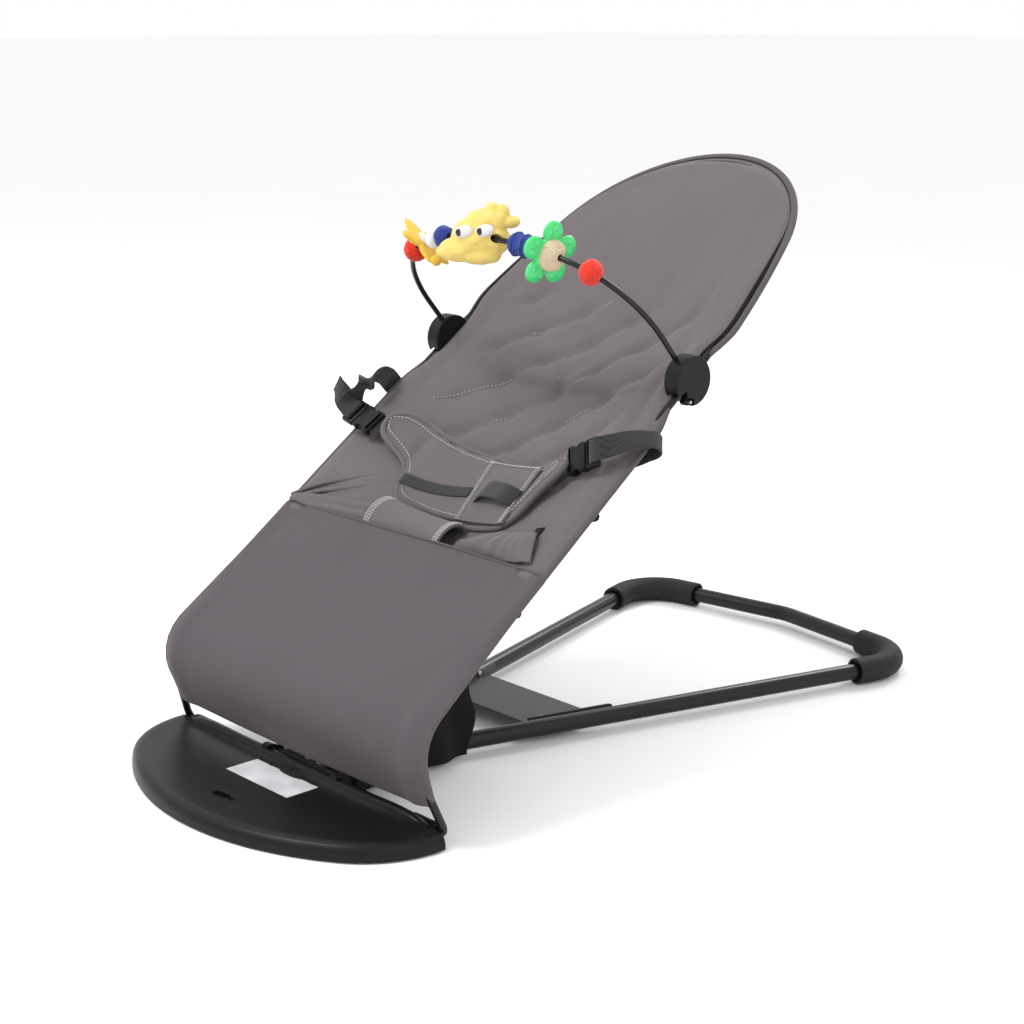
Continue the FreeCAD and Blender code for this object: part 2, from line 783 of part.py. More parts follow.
def waist_bib():
    """Padded bib that lies across the child's lap."""
    outline = [
        (-121, 112), (-112, 124), (-96, 126), (-60, 118), (60, 112), (98, 122), (112, 118),
        (116, 104), (108, 78), (96, 54), (80, 44), (-62, 44), (-72, 66), (-98, 88), (-118, 98),
    ]
    deep = seat_sag + 30
    column = prism([seat_point(x, u, -deep) for x, u in outline], OUT * (deep + 30))
    slab = sagging_slab(30, 140, bib_gap + bib_thickness, bib_thickness, bib_thickness)
    return single(slab.common(column))


def crotch_roll():
    """Rolled strap piece between the thigh seam and the bib."""
    centre = seat_point(-48, 21, -13)
    curve = Part.Ellipse(centre + UP_SLOPE * 17, centre + OUT * 9, centre)
    return Part.Face(Part.Wire([curve.toShape()])).extrude(X * 94)


def ribbon(frame, points, width, thickness):
    """A flat strap: a path in its frame's (along, out) plane, swept over its width."""
    origin, along, out = frame
    across = along.cross(out)
    normals = []
    for first, second in zip(points, points[1:]):
        length = math.hypot(second[0] - first[0], second[1] - first[1])
        normals.append((-(second[1] - first[1]) / length, (second[0] - first[0]) / length))
    joined = [normals[0]]
    for first, second in zip(normals, normals[1:]):
        scale = 1 / (1 + first[0] * second[0] + first[1] * second[1])
        joined.append(((first[0] + second[0]) * scale, (first[1] + second[1]) * scale))
    joined.append(normals[-1])
    half = thickness / 2
    upper = [(a + nx * half, b + ny * half) for (a, b), (nx, ny) in zip(points, joined)]
    lower = [(a - nx * half, b - ny * half) for (a, b), (nx, ny) in zip(points, joined)]
    corners = [origin + along * a + out * b - across * (width / 2)
               for a, b in upper + lower[::-1]]
    return prism(corners, across * width)


def strap_frame(side, x, u, n, turn_deg):
    """A frame at a point of the seat, pointing inward and down the slope."""
    turn = math.radians(turn_deg)
    along = seat_direction(-side * math.cos(turn), -math.sin(turn), 0)
    return seat_point(side * x, u, n), along, Vector(OUT)


def waist_strap(side):
    """Webbing from the seat's edge to the buckle's plug."""
    if side > 0:
        frame = strap_frame(1, 179, 163, 0, 50)
        path = [(21, -10), (4, -9), (-1, -2), (3, 6), (18, 13), (41.5, 20)]
    else:
        frame = strap_frame(-1, 179, 165, 0, 80)
        path = [(14, -10), (3, -9), (-1, -1), (-1, 12), (8, 25), (24, 29), (37, 25)]
    return ribbon(frame, path, webbing_width, webbing_thickness)


def buckle_frame(side):
    """Origin at the plug's outer end, with unit directions along, across and out."""
    if side > 0:
        origin = seat_point(150.5, 127, 22)
        inner = seat_point(116.5, 119, 8)
    else:
        origin = seat_point(-172, 111, 20)
        inner = seat_point(-137, 106, 13)
    along = (inner - origin).normalize()
    level = along.cross(OUT).normalize()
    tilt = math.radians(buckle_tilt_deg[side > 0])
    across = level * math.cos(tilt) + level.cross(along) * math.sin(tilt)
    return origin, along, across, across.cross(along)


def buckle_block(frame, start, end, half_width, half_thickness):
    """A block on the buckle's axis between two distances from its outer end."""
    origin, along, across, out = frame
    corner = origin + along * start - across * half_width - out * half_thickness
    corners = [corner, corner + along * (end - start),
               corner + along * (end - start) + across * 2 * half_width,
               corner + across * 2 * half_width]
    return prism(corners, out * 2 * half_thickness)


def buckle_plug(side):
    """The half with two spring prongs and a ladder bar for the webbing."""
    frame = buckle_frame(side)
    split = buckle_length - socket_length
    half = buckle_width / 2
    body = buckle_block(frame, 0, split, half, 3.2)
    for start in (4.0, 11.0):
        window = buckle_block(frame, start, start + 3.6, webbing_width / 2 + 0.8, 6)
        body = body.cut(window)
    guide = buckle_block(frame, split - 1, split + 17, 2.4, 1.6)
    pieces = [guide]
    for across_side in (-1, 1):
        arm = buckle_block(frame, split - 1, split + 14, 1.5, 1.8)
        head = buckle_block(frame, split + 9, split + 15, 2.8, 1.8)
        origin, along, across, out = frame
        for piece, offset in ((arm, 6.6), (head, 7.5)):
            piece.translate(across * (across_side * offset))
            pieces.append(piece)
    return single(body.fuse(pieces).removeSplitter())


def buckle_socket(side):
    """The half that the plug snaps into, open at the sides for the prongs."""
    frame = buckle_frame(side)
    split = buckle_length - socket_length
    half = buckle_width / 2
    shell = buckle_block(frame, split + plug_gap, buckle_length + 3, half, buckle_thickness / 2)
    cavity = buckle_block(frame, split - 2, split + 18, half - 2.6, buckle_thickness / 2 - 2.2)
    mouths = buckle_block(frame, split + 7, split + 17, half + 2, 2.2)
    window = buckle_block(frame, buckle_length - 2.4, buckle_length + 0.6,
                          webbing_width / 2, 10)
    return single(shell.cut(cavity).cut(mouths).cut(window))


def bib_tab(side):
    """Short webbing that ties the buckle's socket to the bib."""
    origin, along, across, out = buckle_frame(side)
    frame = (origin + along * (buckle_length + 3.4), along, Vector(out))
    return ribbon(frame, [(0, -2.2), (7, -2.6)], webbing_width - 1, webbing_thickness)


# ---- toy bar ---------------------------------------------------------------------

def bar_up():
    lean = math.radians(bar_lean_deg)
    return seat_direction(0, -math.sin(lean), math.cos(lean))


def bar_place(x, h):
    """A point of the toy bar's plane: across, and up from the clamps."""
    return seat_point(x, bar_u, bar_n) + bar_up() * h


def bar_arc(arc):
    """Place and direction on the bar, by distance from its top along the wire."""
    crown = math.radians(bar_crown_deg)
    side = 1 if arc >= 0 else -1
    reach = abs(arc)
    if reach <= bar_crown_radius * crown:
        angle = reach / bar_crown_radius
        x = bar_crown_radius * math.sin(angle)
        h = bar_height - bar_crown_radius * (1 - math.cos(angle))
    else:
        angle = crown + (reach - bar_crown_radius * crown) / bar_corner_radius
        gap = bar_crown_radius - bar_corner_radius
        x = gap * math.sin(crown) + bar_corner_radius * math.sin(angle)
        h = bar_height - bar_crown_radius + gap * math.cos(crown)
        h += bar_corner_radius * math.cos(angle)
    direction = X * math.cos(angle) - bar_up() * (side * math.sin(angle))
    return bar_place(side * x, h), direction.normalize()


def toy_bar():
    """The steel wire arch that carries the toys."""
    crown = bar_crown_radius * math.radians(bar_crown_deg)
    corner = bar_corner_radius * math.radians(90 - bar_crown_deg)

    def place(arc):
        return bar_arc(arc)[0]

    foot = place(crown + corner) - bar_up() * 1.0
    drop = (foot - bar_place(foot.x, bar_foot_h)).Length
    end = place(crown + corner)
    right = Part.makeLine(end - bar_up() * (drop + 1), end)
    corner_right = Part.Arc(end, place(crown + corner / 2), place(crown)).toShape()
    top = Part.Arc(place(crown), place(0), place(-crown)).toShape()
    edges = [right, corner_right, top, mirrored(corner_right), mirrored(right)]
    return rod(edges, bar_radius)


def clamp_disc():
    start = seat_point(clamp_inner_x, clamp_u, clamp_n)
    end = seat_point(clamp_outer_x, clamp_u, clamp_n)
    disc = cylinder(start, end, clamp_radius)
    return disc.makeFillet(1.6, disc.Edges[:3:2])


def clamp_cuts():
    """The channel for the seat's edge and the slot for its fabric."""
    low = clamp_u - 30
    high = clamp_u + 30
    channel = cylinder(seat_point(wire_x(low), low, 0), seat_point(wire_x(high) - 0.3, high, 0),
                       clamp_bore)
    slot = seat_box((clamp_inner_x - 2, low, -11.0), (clamp_inner_x + 4.5, high, 2.0))
    return channel.fuse(slot)


def jaw_axis(extra=0.0):
    u = clamp_u + jaw_hinge[0]
    n = clamp_n + jaw_hinge[1]
    return seat_point(clamp_inner_x - extra, u, n), seat_point(clamp_outer_x + extra, u, n)


def jaw_zone():
    """The part of the disc that swings away with the jaw."""
    hinge_u = clamp_u + jaw_hinge[0]
    return seat_box((clamp_inner_x - 2, hinge_u, -40), (clamp_outer_x + 2, clamp_u + 40, 0))


def knuckle(radius, low, high):
    u = clamp_u + jaw_hinge[0]
    n = clamp_n + jaw_hinge[1]
    return cylinder(seat_point(low, u, n), seat_point(high, u, n), radius)


def clamp_body(side):
    """Fixed part of a clamp, with the toy bar's end in its rim."""
    thickness = clamp_outer_x - clamp_inner_x
    middle = (clamp_inner_x + thickness * 0.3, clamp_outer_x - thickness * 0.3)
    body = clamp_disc().cut(jaw_zone())
    ears = clamp_disc().common(knuckle(knuckle_radius, clamp_inner_x, clamp_outer_x))
    body = body.fuse(ears).cut(knuckle(knuckle_radius + 0.4, middle[0], middle[1]))
    start, end = jaw_axis(1)
    body = body.cut(cylinder(start, end, jaw_pin_radius + pivot_clearance)).cut(clamp_cuts())
    foot = bar_arc(bar_crown_radius * math.radians(bar_crown_deg)
                   + bar_corner_radius * math.radians(90 - bar_crown_deg))[0]
    socket = cylinder(foot, foot - bar_up() * (foot - bar_place(foot.x, bar_foot_h)).Length,
                      bar_radius)
    return on_side(single(body.cut(socket)), side)


def clamp_jaw(side):
    """Swinging part of a clamp that closes under the seat's edge."""
    thickness = clamp_outer_x - clamp_inner_x
    middle = (clamp_inner_x + thickness * 0.3 + 0.2, clamp_outer_x - thickness * 0.3 - 0.2)
    zone = jaw_zone()
    zone.translate(UP_SLOPE * clamp_split - OUT * clamp_split)
    jaw = clamp_disc().common(zone)
    jaw = jaw.cut(knuckle(knuckle_radius + 0.4, clamp_inner_x - 1, clamp_outer_x + 1))
    jaw = jaw.fuse(knuckle(knuckle_radius, middle[0], middle[1]))
    web = seat_box((middle[0], clamp_u + jaw_hinge[0], clamp_n + jaw_hinge[1] - 3),
                   (middle[1], clamp_u + jaw_hinge[0] + 8, clamp_n + jaw_hinge[1] + 3))
    start, end = jaw_axis(1)
    jaw = jaw.fuse(web).cut(cylinder(start, end, jaw_pin_radius + pivot_clearance))
    return on_side(single(jaw.cut(clamp_cuts())), side)


def clamp_pin(side):
    start, end = jaw_axis(-0.5)
    return on_side(cylinder(start, end, jaw_pin_radius), side)


# ---- toys ------------------------------------------------------------------------

def on_bar(shape, arc):
    """Moves a toy made along X at the origin to its place on the bar."""
    place, direction = bar_arc(arc)
    turn = FreeCAD.Rotation(X, direction)
    moved = shape.copy()
    moved.Placement = FreeCAD.Placement(place, turn).multiply(moved.Placement)
    return moved


def ball(radius, length, bore=bead_bore):
    """A bead: a ball cut flat at both ends, with a bore along X."""
    sphere = Part.makeSphere(radius)
    keep = box(Vector(-length / 2, -50, -50), Vector(length / 2, 50, 50))
    hole = cylinder(Vector(-50, 0, 0), Vector(50, 0, 0), bore)
    return sphere.common(keep).cut(hole)


def double_bead():
    parts = []
    for x in (-5.6, 5.6):
        bead = ball(11.5, 13.0)
        bead.translate(X * x)
        parts.append(bead)
    return single(parts[0].fuse(parts[1]).removeSplitter())


def flower_teether():
    """Five-lobed soft plastic ring round a fabric centre."""
    lobes = Part.makeCylinder(18, 9, Vector(-4.5, 0, 0), X)
    for number in range(5):
        angle = math.radians(90 + 72 * number)
        centre = Vector(-4.5, 18.5 * math.cos(angle), 18.5 * math.sin(angle))
        lobes = lobes.fuse(Part.makeCylinder(10.5, 9, centre, X))
    rim = [edge for edge in lobes.removeSplitter().Edges if edge.BoundBox.XLength < 0.1]
    lobes = lobes.removeSplitter().makeFillet(2.5, rim)
    return single(lobes.cut(cylinder(X * -10, X * 10, 12.2)))


def flower_centre():
    disc = Part.makeCylinder(12.0, 15, Vector(-7.5, 0, 0), X)
    disc = disc.makeFillet(4.5, [edge for edge in disc.Edges if edge.BoundBox.XLength < 0.1])
    return disc.cut(cylinder(X * -10, X * 10, bead_bore))


def plush_head():
    """Soft animal head, long along the bar."""
    start, top, end = Vector(-36, 0, plush_bore), Vector(0, 0, 21.5), Vector(36, 0, plush_bore)
    outline = Part.Wire([Part.Arc(start, top, end).toShape(), Part.makeLine(end, start)])
    return single(Part.Face(outline).revolve(Vector(0, 0, 0), X, 360))


def star_toy():
    """Flat five-pointed soft star that stands askew on the bar."""
    points = []
    for number in range(10):
        radius = 31.0 if number % 2 == 0 else 17.0
        angle = math.radians(90 + 36 * number)
        points.append(Vector(-3.5, radius * math.cos(angle), radius * math.sin(angle)))
    star = prism(points, X * 7.0)
    corners = [edge for edge in star.Edges if edge.BoundBox.XLength > 6]
    star = star.makeFillet(4.0, corners)
    star.rotate(Vector(0, 0, 0), Z, 30)
    star.rotate(Vector(0, 0, 0), Y, -25)
    return single(star.cut(cylinder(X * -50, X * 50, bead_bore)))


TOYS = {
    "toy_red_bead_right": (120.0, lambda: ball(11.5, 20.0)),
    "toy_flower_ring": (76.0, flower_teether),
    "toy_flower_centre": (76.0, flower_centre),
    "toy_blue_beads": (46.0, double_bead),
    "toy_plush_head": (-9.0, plush_head),
    "toy_blue_bead_left": (-59.0, lambda: ball(10.5, 18.0)),
    "toy_white_bead": (-78.0, lambda: ball(8.5, 13.0)),
    "toy_star": (-98.0, star_toy),
    "toy_red_bead_left": (-121.0, lambda: ball(11.5, 19.0)),
}


def main():
    os.makedirs("parts", exist_ok=True)
    nodes = {
        "foot_plate": foot_plate(),
        "foot_pads": plate_pads(),
        "label_plate": label_plate(),
        "base_tube": base_tube(),
        "cross_plate": cross_plate(),
        "cross_plate_rivets": cross_rivets(),
        "hinge_bracket": hinge_bracket(),
        "bracket_screws": bracket_screws(),
        "support_bow": support_bow(),
        "seat_loop": seat_loop(),
        "edge_channel": edge_channel(),
        "back_pad": back_pad(),
        "leg_panel": leg_panel(),
        "crossbars": crossbars(),
        "crossbar_hooks": crossbar_hooks(),
        "recline_rack": recline_rack(),
        "waist_bib": waist_bib(),
        "crotch_roll": crotch_roll(),
        "toy_bar": toy_bar(),
    }
    sided = {
        "pivot_bush": pivot_bush,
        "corner_sleeve": corner_sleeve,
        "ridge_clip": ridge_clip,
        "bow_lug": bow_lug,
        "skirt": skirt,
        "waist_strap": waist_strap,
        "buckle_plug": buckle_plug,
        "buckle_socket": buckle_socket,
        "bib_tab": bib_tab,
        "clamp_body": clamp_body,
        "clamp_jaw": clamp_jaw,
        "clamp_pin": clamp_pin,
    }
    for name, make in sided.items():
        for word, side in SIDES:
            nodes[name + "_" + word] = make(side)
    for name, (arc, make) in TOYS.items():
        nodes[name] = on_bar(make(), arc)
    for name, shape in nodes.items():
        valid = shape.isValid()
        print(f"{name:24s} valid {valid} solids {len(shape.Solids)} volume {shape.Volume:.0f}")
        shape.exportStep("parts/" + name + ".step")


main()
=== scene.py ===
import json
import math

import bpy
from mathutils import Matrix, Vector, noise

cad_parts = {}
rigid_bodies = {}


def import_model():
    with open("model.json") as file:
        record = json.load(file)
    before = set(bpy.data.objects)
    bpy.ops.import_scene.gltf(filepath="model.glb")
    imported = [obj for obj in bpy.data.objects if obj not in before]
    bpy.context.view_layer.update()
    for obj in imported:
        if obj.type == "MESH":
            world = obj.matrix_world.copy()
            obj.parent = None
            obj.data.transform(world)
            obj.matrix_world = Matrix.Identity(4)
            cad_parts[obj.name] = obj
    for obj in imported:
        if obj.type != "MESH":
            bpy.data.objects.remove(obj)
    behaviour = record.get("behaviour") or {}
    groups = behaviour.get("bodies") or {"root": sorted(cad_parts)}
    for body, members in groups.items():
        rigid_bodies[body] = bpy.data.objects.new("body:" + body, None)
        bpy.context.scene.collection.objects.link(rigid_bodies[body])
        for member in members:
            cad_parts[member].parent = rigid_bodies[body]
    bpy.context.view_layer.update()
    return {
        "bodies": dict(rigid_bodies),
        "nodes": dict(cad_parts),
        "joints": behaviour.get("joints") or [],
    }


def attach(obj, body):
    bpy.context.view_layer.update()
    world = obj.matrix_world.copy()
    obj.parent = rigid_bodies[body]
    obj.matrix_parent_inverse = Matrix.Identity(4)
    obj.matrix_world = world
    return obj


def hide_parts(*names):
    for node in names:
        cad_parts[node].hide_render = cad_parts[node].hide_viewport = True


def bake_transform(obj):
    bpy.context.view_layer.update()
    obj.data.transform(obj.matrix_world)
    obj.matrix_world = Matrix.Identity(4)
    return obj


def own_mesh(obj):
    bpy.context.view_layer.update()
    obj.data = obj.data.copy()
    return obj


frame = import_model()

MM = 0.001

# ---- places on the object, in metres ----------------------------------------------

JOINTS = {joint["name"]: joint for joint in frame["joints"]}
X = Vector((1, 0, 0))
Z = Vector((0, 0, 1))
UP = Vector(JOINTS["toy_arch_slide"]["axis"]).normalized()
OUT = Vector((0, -UP.z, UP.y))
RIDGE_Y = -0.27056
SEAM = Vector((0, RIDGE_Y + 0.120, 0.197))
KNEE_START = 0.1457
KNEE_BEND = 0.042
KNEE_TURN = math.radians(73.5)
HEM = -0.2285
SEAT_SIDE = 0.2220
CROWN_TOP = 0.534
CROWN_BEND = 0.149
CROWN_ANGLE = math.radians(75.2)
SHOULDER_BEND = 0.851
SHOULDER_ANGLE = math.radians(88.9)
WIRE_INSET = 0.0135
SAG = 0.028


def seat(x, u, n=0.0):
    """A point by x, distance u up from the thigh seam and height n out of the wire loop's surface."""
    if u >= -KNEE_START:
        return SEAM + X * x + UP * u + OUT * n
    centre = SEAM - UP * KNEE_START - OUT * KNEE_BEND
    turn = min((-u - KNEE_START) / KNEE_BEND, KNEE_TURN)
    outward = OUT * math.cos(turn) - UP * math.sin(turn)
    down = -UP * math.cos(turn) - OUT * math.sin(turn)
    rest = -u - KNEE_START - turn * KNEE_BEND
    return centre + X * x + outward * (KNEE_BEND + n) + down * rest


def smooth(value, low, high):
    """0 below low, 1 above high, and a soft step between."""
    share = min(max((value - low) / (high - low), 0), 1)
    return share * share * (3 - 2 * share)


def bump(value, width):
    return math.exp(-(value / width) ** 2)


def head_outline(share, inset=0.0):
    """Right half of the head's outline, from its top (0) to its side (1), as (x, u)."""
    crown = CROWN_BEND * CROWN_ANGLE
    shoulder = SHOULDER_BEND * (SHOULDER_ANGLE - CROWN_ANGLE)
    reach = share * (crown + shoulder)
    centre = CROWN_TOP - CROWN_BEND
    if reach <= crown:
        angle = reach / CROWN_BEND
        radius = CROWN_BEND - inset
        return radius * math.sin(angle), centre + radius * math.cos(angle)
    angle = CROWN_ANGLE + (reach - crown) / SHOULDER_BEND
    gap = SHOULDER_BEND - CROWN_BEND
    radius = SHOULDER_BEND - inset
    x = radius * math.sin(angle) - gap * math.sin(CROWN_ANGLE)
    return x, centre - gap * math.cos(CROWN_ANGLE) + radius * math.cos(angle)


def side_half(u):
    """Half width of the cover below the head, out to its edge."""
    if u >= 0:
        return 0.1721 + 0.0188 * (SEAT_SIDE - u)
    low = smooth(-u, 0, 0.19)
    return 0.1763 + 0.0077 * low - 0.0035 * smooth(-u, 0.19, 0.2285)


def edge_inset(u):
    """How far the wire lies inside the cover's edge."""
    return WIRE_INSET - 0.0095 * smooth(-u, 0.02, 0.2)


def sag_at(u):
    """Depth of the seat's hollow on its middle line."""
    if u < 0.15:
        return SAG
    return SAG + (0.006 - SAG) * smooth(u, 0.15, 0.5)


def hollow(across, u):
    """Height of the cover's middle layer; across runs from -1 to 1 between its edges."""
    inner = min(abs(across) / 0.90, 1)
    return -sag_at(u) * (1 - inner ** 2) ** 1.3


def quilt_depth(x, u):
    """How far the diamond quilting draws the cushion in."""
    field = smooth(u, 0.075, 0.115) * (1 - smooth(u, 0.300, 0.345))
    field *= 1 - smooth(abs(x), 0.085, 0.125)
    rising = 0.03325 - abs((u - x - 0.0095) % 0.0665 - 0.03325)
    falling = 0.03325 - abs((u + x - 0.0095) % 0.0665 - 0.03325)
    depth = 0.0030 * bump(rising, 0.0085) + 0.0007 * bump(falling, 0.0095)
    depth += 0.0022 * bump(math.hypot(rising, falling), 0.015)
    return depth * field


def cover_top(x, u):
    """Height of the seat cushion's unquilted top above the wire plane."""
    half = side_half(min(u, SEAT_SIDE))
    return hollow(x / half, u) + 0.0062


def gathered(x, u):
    """Draws the cover's edge in towards the wire where a clamp grips it."""
    near = 1 - smooth(abs(u - 0.238), 0.014, 0.070)
    return x * (1 - 0.080 * near * smooth(abs(x), 0.11, 0.165))


# ---- making meshes ----------------------------------------------------------------

def pick(*pieces):
    """Selects these objects and nothing else, and makes the last one active."""
    bpy.ops.object.select_all(action="DESELECT")
    for piece in pieces:
        piece.select_set(True)
    bpy.context.view_layer.objects.active = pieces[-1]


def newest(name):
    piece = bpy.context.object
    piece.name = name
    piece.data.name = name
    return piece


def add_modifier(piece, kind, **settings):
    modifier = piece.modifiers.new(kind.lower(), kind)
    for key, value in settings.items():
        setattr(modifier, key, value)
    return modifier


def apply_modifiers(piece):
    pick(piece)
    for modifier in list(piece.modifiers):
        bpy.ops.object.modifier_apply(modifier=modifier.name)
    return piece


def edit(piece, *steps):
    """Runs edit-mode operators on the whole piece, each given as (operator, settings)."""
    pick(piece)
    bpy.ops.object.mode_set(mode="EDIT")
    bpy.ops.mesh.select_all(action="SELECT")
    for operator, settings in steps:
        operator(**settings)
    bpy.ops.object.mode_set(mode="OBJECT")
    return piece


def face_out(piece):
    return edit(piece, (bpy.ops.mesh.normals_make_consistent, {"inside": False}))


def soften(piece, angle=40):
    pick(piece)
    bpy.ops.object.shade_smooth_by_angle(angle=math.radians(angle))
    return piece


def subdivide(piece, levels=1):
    add_modifier(piece, "SUBSURF", levels=levels, render_levels=levels)
    return apply_modifiers(piece)


def grid(name, columns, rows, place):
    """A primitive grid whose points are moved to place(s, t), both from -1 to 1."""
    pick(frame["bodies"]["base_frame"])
    bpy.ops.object.select_all(action="DESELECT")
    bpy.ops.mesh.primitive_grid_add(x_subdivisions=columns, y_subdivisions=rows, size=2)
    piece = newest(name)
    for vertex in piece.data.vertices:
        vertex.co = place(vertex.co.x, vertex.co.y)
    return piece


def rounded_box(name, size, bevel, segments=3):
    """A box round the origin with bevelled edges."""
    bpy.ops.object.select_all(action="DESELECT")
    bpy.ops.mesh.primitive_cube_add(size=1)
    piece = newest(name)
    for vertex in piece.data.vertices:
        vertex.co = Vector(c * s for c, s in zip(vertex.co, size))
    add_modifier(piece, "BEVEL", width=bevel, segments=segments, limit_method="NONE")
    return soften(apply_modifiers(piece))


def ball(name, radius, stretch=(1, 1, 1), detail=4):
    bpy.ops.object.select_all(action="DESELECT")
    bpy.ops.mesh.primitive_ico_sphere_add(subdivisions=detail, radius=radius)
    piece = newest(name)
    for vertex in piece.data.vertices:
        vertex.co = Vector(c * s for c, s in zip(vertex.co, stretch))
    for polygon in piece.data.polygons:
        polygon.use_smooth = True
    return piece


def disc(name, radius, height, bevel, sides=64):
    """A bevelled disc standing along X."""
    bpy.ops.object.select_all(action="DESELECT")
    bpy.ops.mesh.primitive_cylinder_add(vertices=sides, radius=radius, depth=height)
    piece = newest(name)
    piece.data.transform(Matrix.Rotation(math.radians(90), 4, "Y"))
    add_modifier(piece, "BEVEL", width=bevel, segments=4, limit_method="ANGLE")
    return soften(apply_modifiers(piece))


def put(piece, matrix):
    piece.data.transform(matrix)
    return piece


def join(name, *pieces):
    pick(*pieces)
    bpy.ops.object.join()
    return newest(name)


def cut(piece, cutter, operation="DIFFERENCE"):
    add_modifier(piece, "BOOLEAN", object=cutter, operation=operation, solver="EXACT")
    apply_modifiers(piece)
    bpy.data.objects.remove(cutter)
    return piece


def curve_of(name, points, closed=False, smoothed=True):
    """A poly or spline curve object through points."""
    data = bpy.data.curves.new(name, "CURVE")
    data.dimensions = "3D"
    spline = data.splines.new("BEZIER" if smoothed else "POLY")
    if smoothed:
        spline.bezier_points.add(len(points) - 1)
        for knot, point in zip(spline.bezier_points, points):
            knot.co = point
            knot.handle_left_type = knot.handle_right_type = "AUTO"
    else:
        spline.points.add(len(points) - 1)
        for knot, point in zip(spline.points, points):
            knot.co = (*point, 1)
    spline.use_cyclic_u = closed
    spline.resolution_u = 8
    data.twist_mode = "MINIMUM"
    curve = bpy.data.objects.new(name, data)
    bpy.context.scene.collection.objects.link(curve)
    return curve


def piping(name, points, radius, closed=False, smoothed=True, radii=None):
    """A round cord along points, as a mesh."""
    curve = curve_of(name, points, closed, smoothed)
    curve.data.bevel_depth = radius
    curve.data.bevel_resolution = 2
    curve.data.use_fill_caps = not closed
    curve.data.resolution_u = curve.data.splines[0].resolution_u = 4
    if radii:
        for knot, size in zip(curve.data.splines[0].bezier_points, radii):
            knot.radius = size
    pick(curve)
    bpy.ops.object.convert(target="MESH")
    piece = newest(name)
    for polygon in piece.data.polygons:
        polygon.use_smooth = True
    return piece


def stitching(name, routes, length=0.0026, gap=0.0012, radius=0.00042):
    """Rows of thread dashes, each row along its own list of points."""
    rows = []
    for number, points in enumerate(routes):
        guide = curve_of(name + "_guide", points, smoothed=len(points) > 2)
        dash = rounded_box(name + "_row" + str(number), (length, radius * 2, radius * 2),
                           radius * 0.7, 1)
        put(dash, Matrix.Translation((length / 2, 0, 0)))
        add_modifier(dash, "ARRAY", fit_type="FIT_CURVE", curve=guide, use_relative_offset=False,
                     use_constant_offset=True, constant_offset_displace=(length + gap, 0, 0))
        add_modifier(dash, "CURVE", object=guide)
        apply_modifiers(dash)
        bpy.data.objects.remove(guide)
        rows.append(dash)
    return join(name, *rows)


def ribbon(name, path, across, width, thickness, columns=6):
    """A flat strap along path points; across gives its width direction at each point."""
    rows = len(path) - 1

    def place(s, t):
        along = (t + 1) / 2 * rows
        index = min(int(along), rows - 1)
        share = along - index
        centre = path[index].lerp(path[index + 1], share)
        side = across[index].lerp(across[index + 1], share).normalized()
        return centre + side * (s * width / 2)

    piece = grid(name, columns, rows, place)
    add_modifier(piece, "SOLIDIFY", thickness=thickness, offset=0)
    add_modifier(piece, "BEVEL", width=thickness * 0.3, segments=2, limit_method="ANGLE")
    apply_modifiers(piece)
    return soften(face_out(piece), 50)


def square_to(path, across):
    """Width directions made square to the path, so that a twisting strap keeps its width."""
    squared = []
    for index, side in enumerate(across):
        ahead = path[min(index + 1, len(path) - 1)] - path[max(index - 1, 0)]
        ahead.normalize()
        squared.append((side - ahead * side.dot(ahead)).normalized())
    return squared


def spline(points, count):
    """Points spread evenly along a smooth curve through a few given points."""
    guide = curve_of("guide", points)
    guide.data.splines[0].resolution_u = 24
    mesh = bpy.data.meshes.new_from_object(guide)
    line = [vertex.co.copy() for vertex in mesh.vertices]
    bpy.data.objects.remove(guide)
    bpy.data.meshes.remove(mesh)
    reach = [0.0]
    for first, second in zip(line, line[1:]):
        reach.append(reach[-1] + (second - first).length)
    spread = []
    index = 0
    for number in range(count):
        target = reach[-1] * number / (count - 1)
        while index < len(line) - 2 and reach[index + 1] < target:
            index += 1
        step = reach[index + 1] - reach[index]
        spread.append(line[index].lerp(line[index + 1], (target - reach[index]) / step))
    return spread


def group(piece, name, weight):
    """A vertex group whose weights come from weight(point)."""
    made = piece.vertex_groups.new(name=name)
    for vertex in piece.data.vertices:
        made.add([vertex.index], min(max(weight(vertex.co), 0), 1), "REPLACE")
    return made


def inflate(piece, held, pressure=4.0, cap=0.006, frames=20):
    """Puffs a closed piece by cloth simulation; points where held(point) is 1 stay put."""
    scene = bpy.context.scene
    group(piece, "held", held)
    before = [vertex.co.copy() for vertex in piece.data.vertices]
    cloth = add_modifier(piece, "CLOTH")
    cloth.settings.use_pressure = True
    cloth.settings.uniform_pressure_force = pressure
    cloth.settings.vertex_group_mass = "held"
    cloth.settings.effector_weights.gravity = 0
    cloth.settings.quality = 6
    cloth.collision_settings.use_collision = False
    cloth.point_cache.frame_start = 1
    cloth.point_cache.frame_end = frames
    for number in range(1, frames + 1):
        scene.frame_set(number)
    apply_modifiers(piece)
    for vertex, start in zip(piece.data.vertices, before):
        move = vertex.co - start
        if move.length > cap:
            vertex.co = start + move * (cap / move.length)
    scene.frame_set(1)
    return piece


# ---- materials --------------------------------------------------------------------

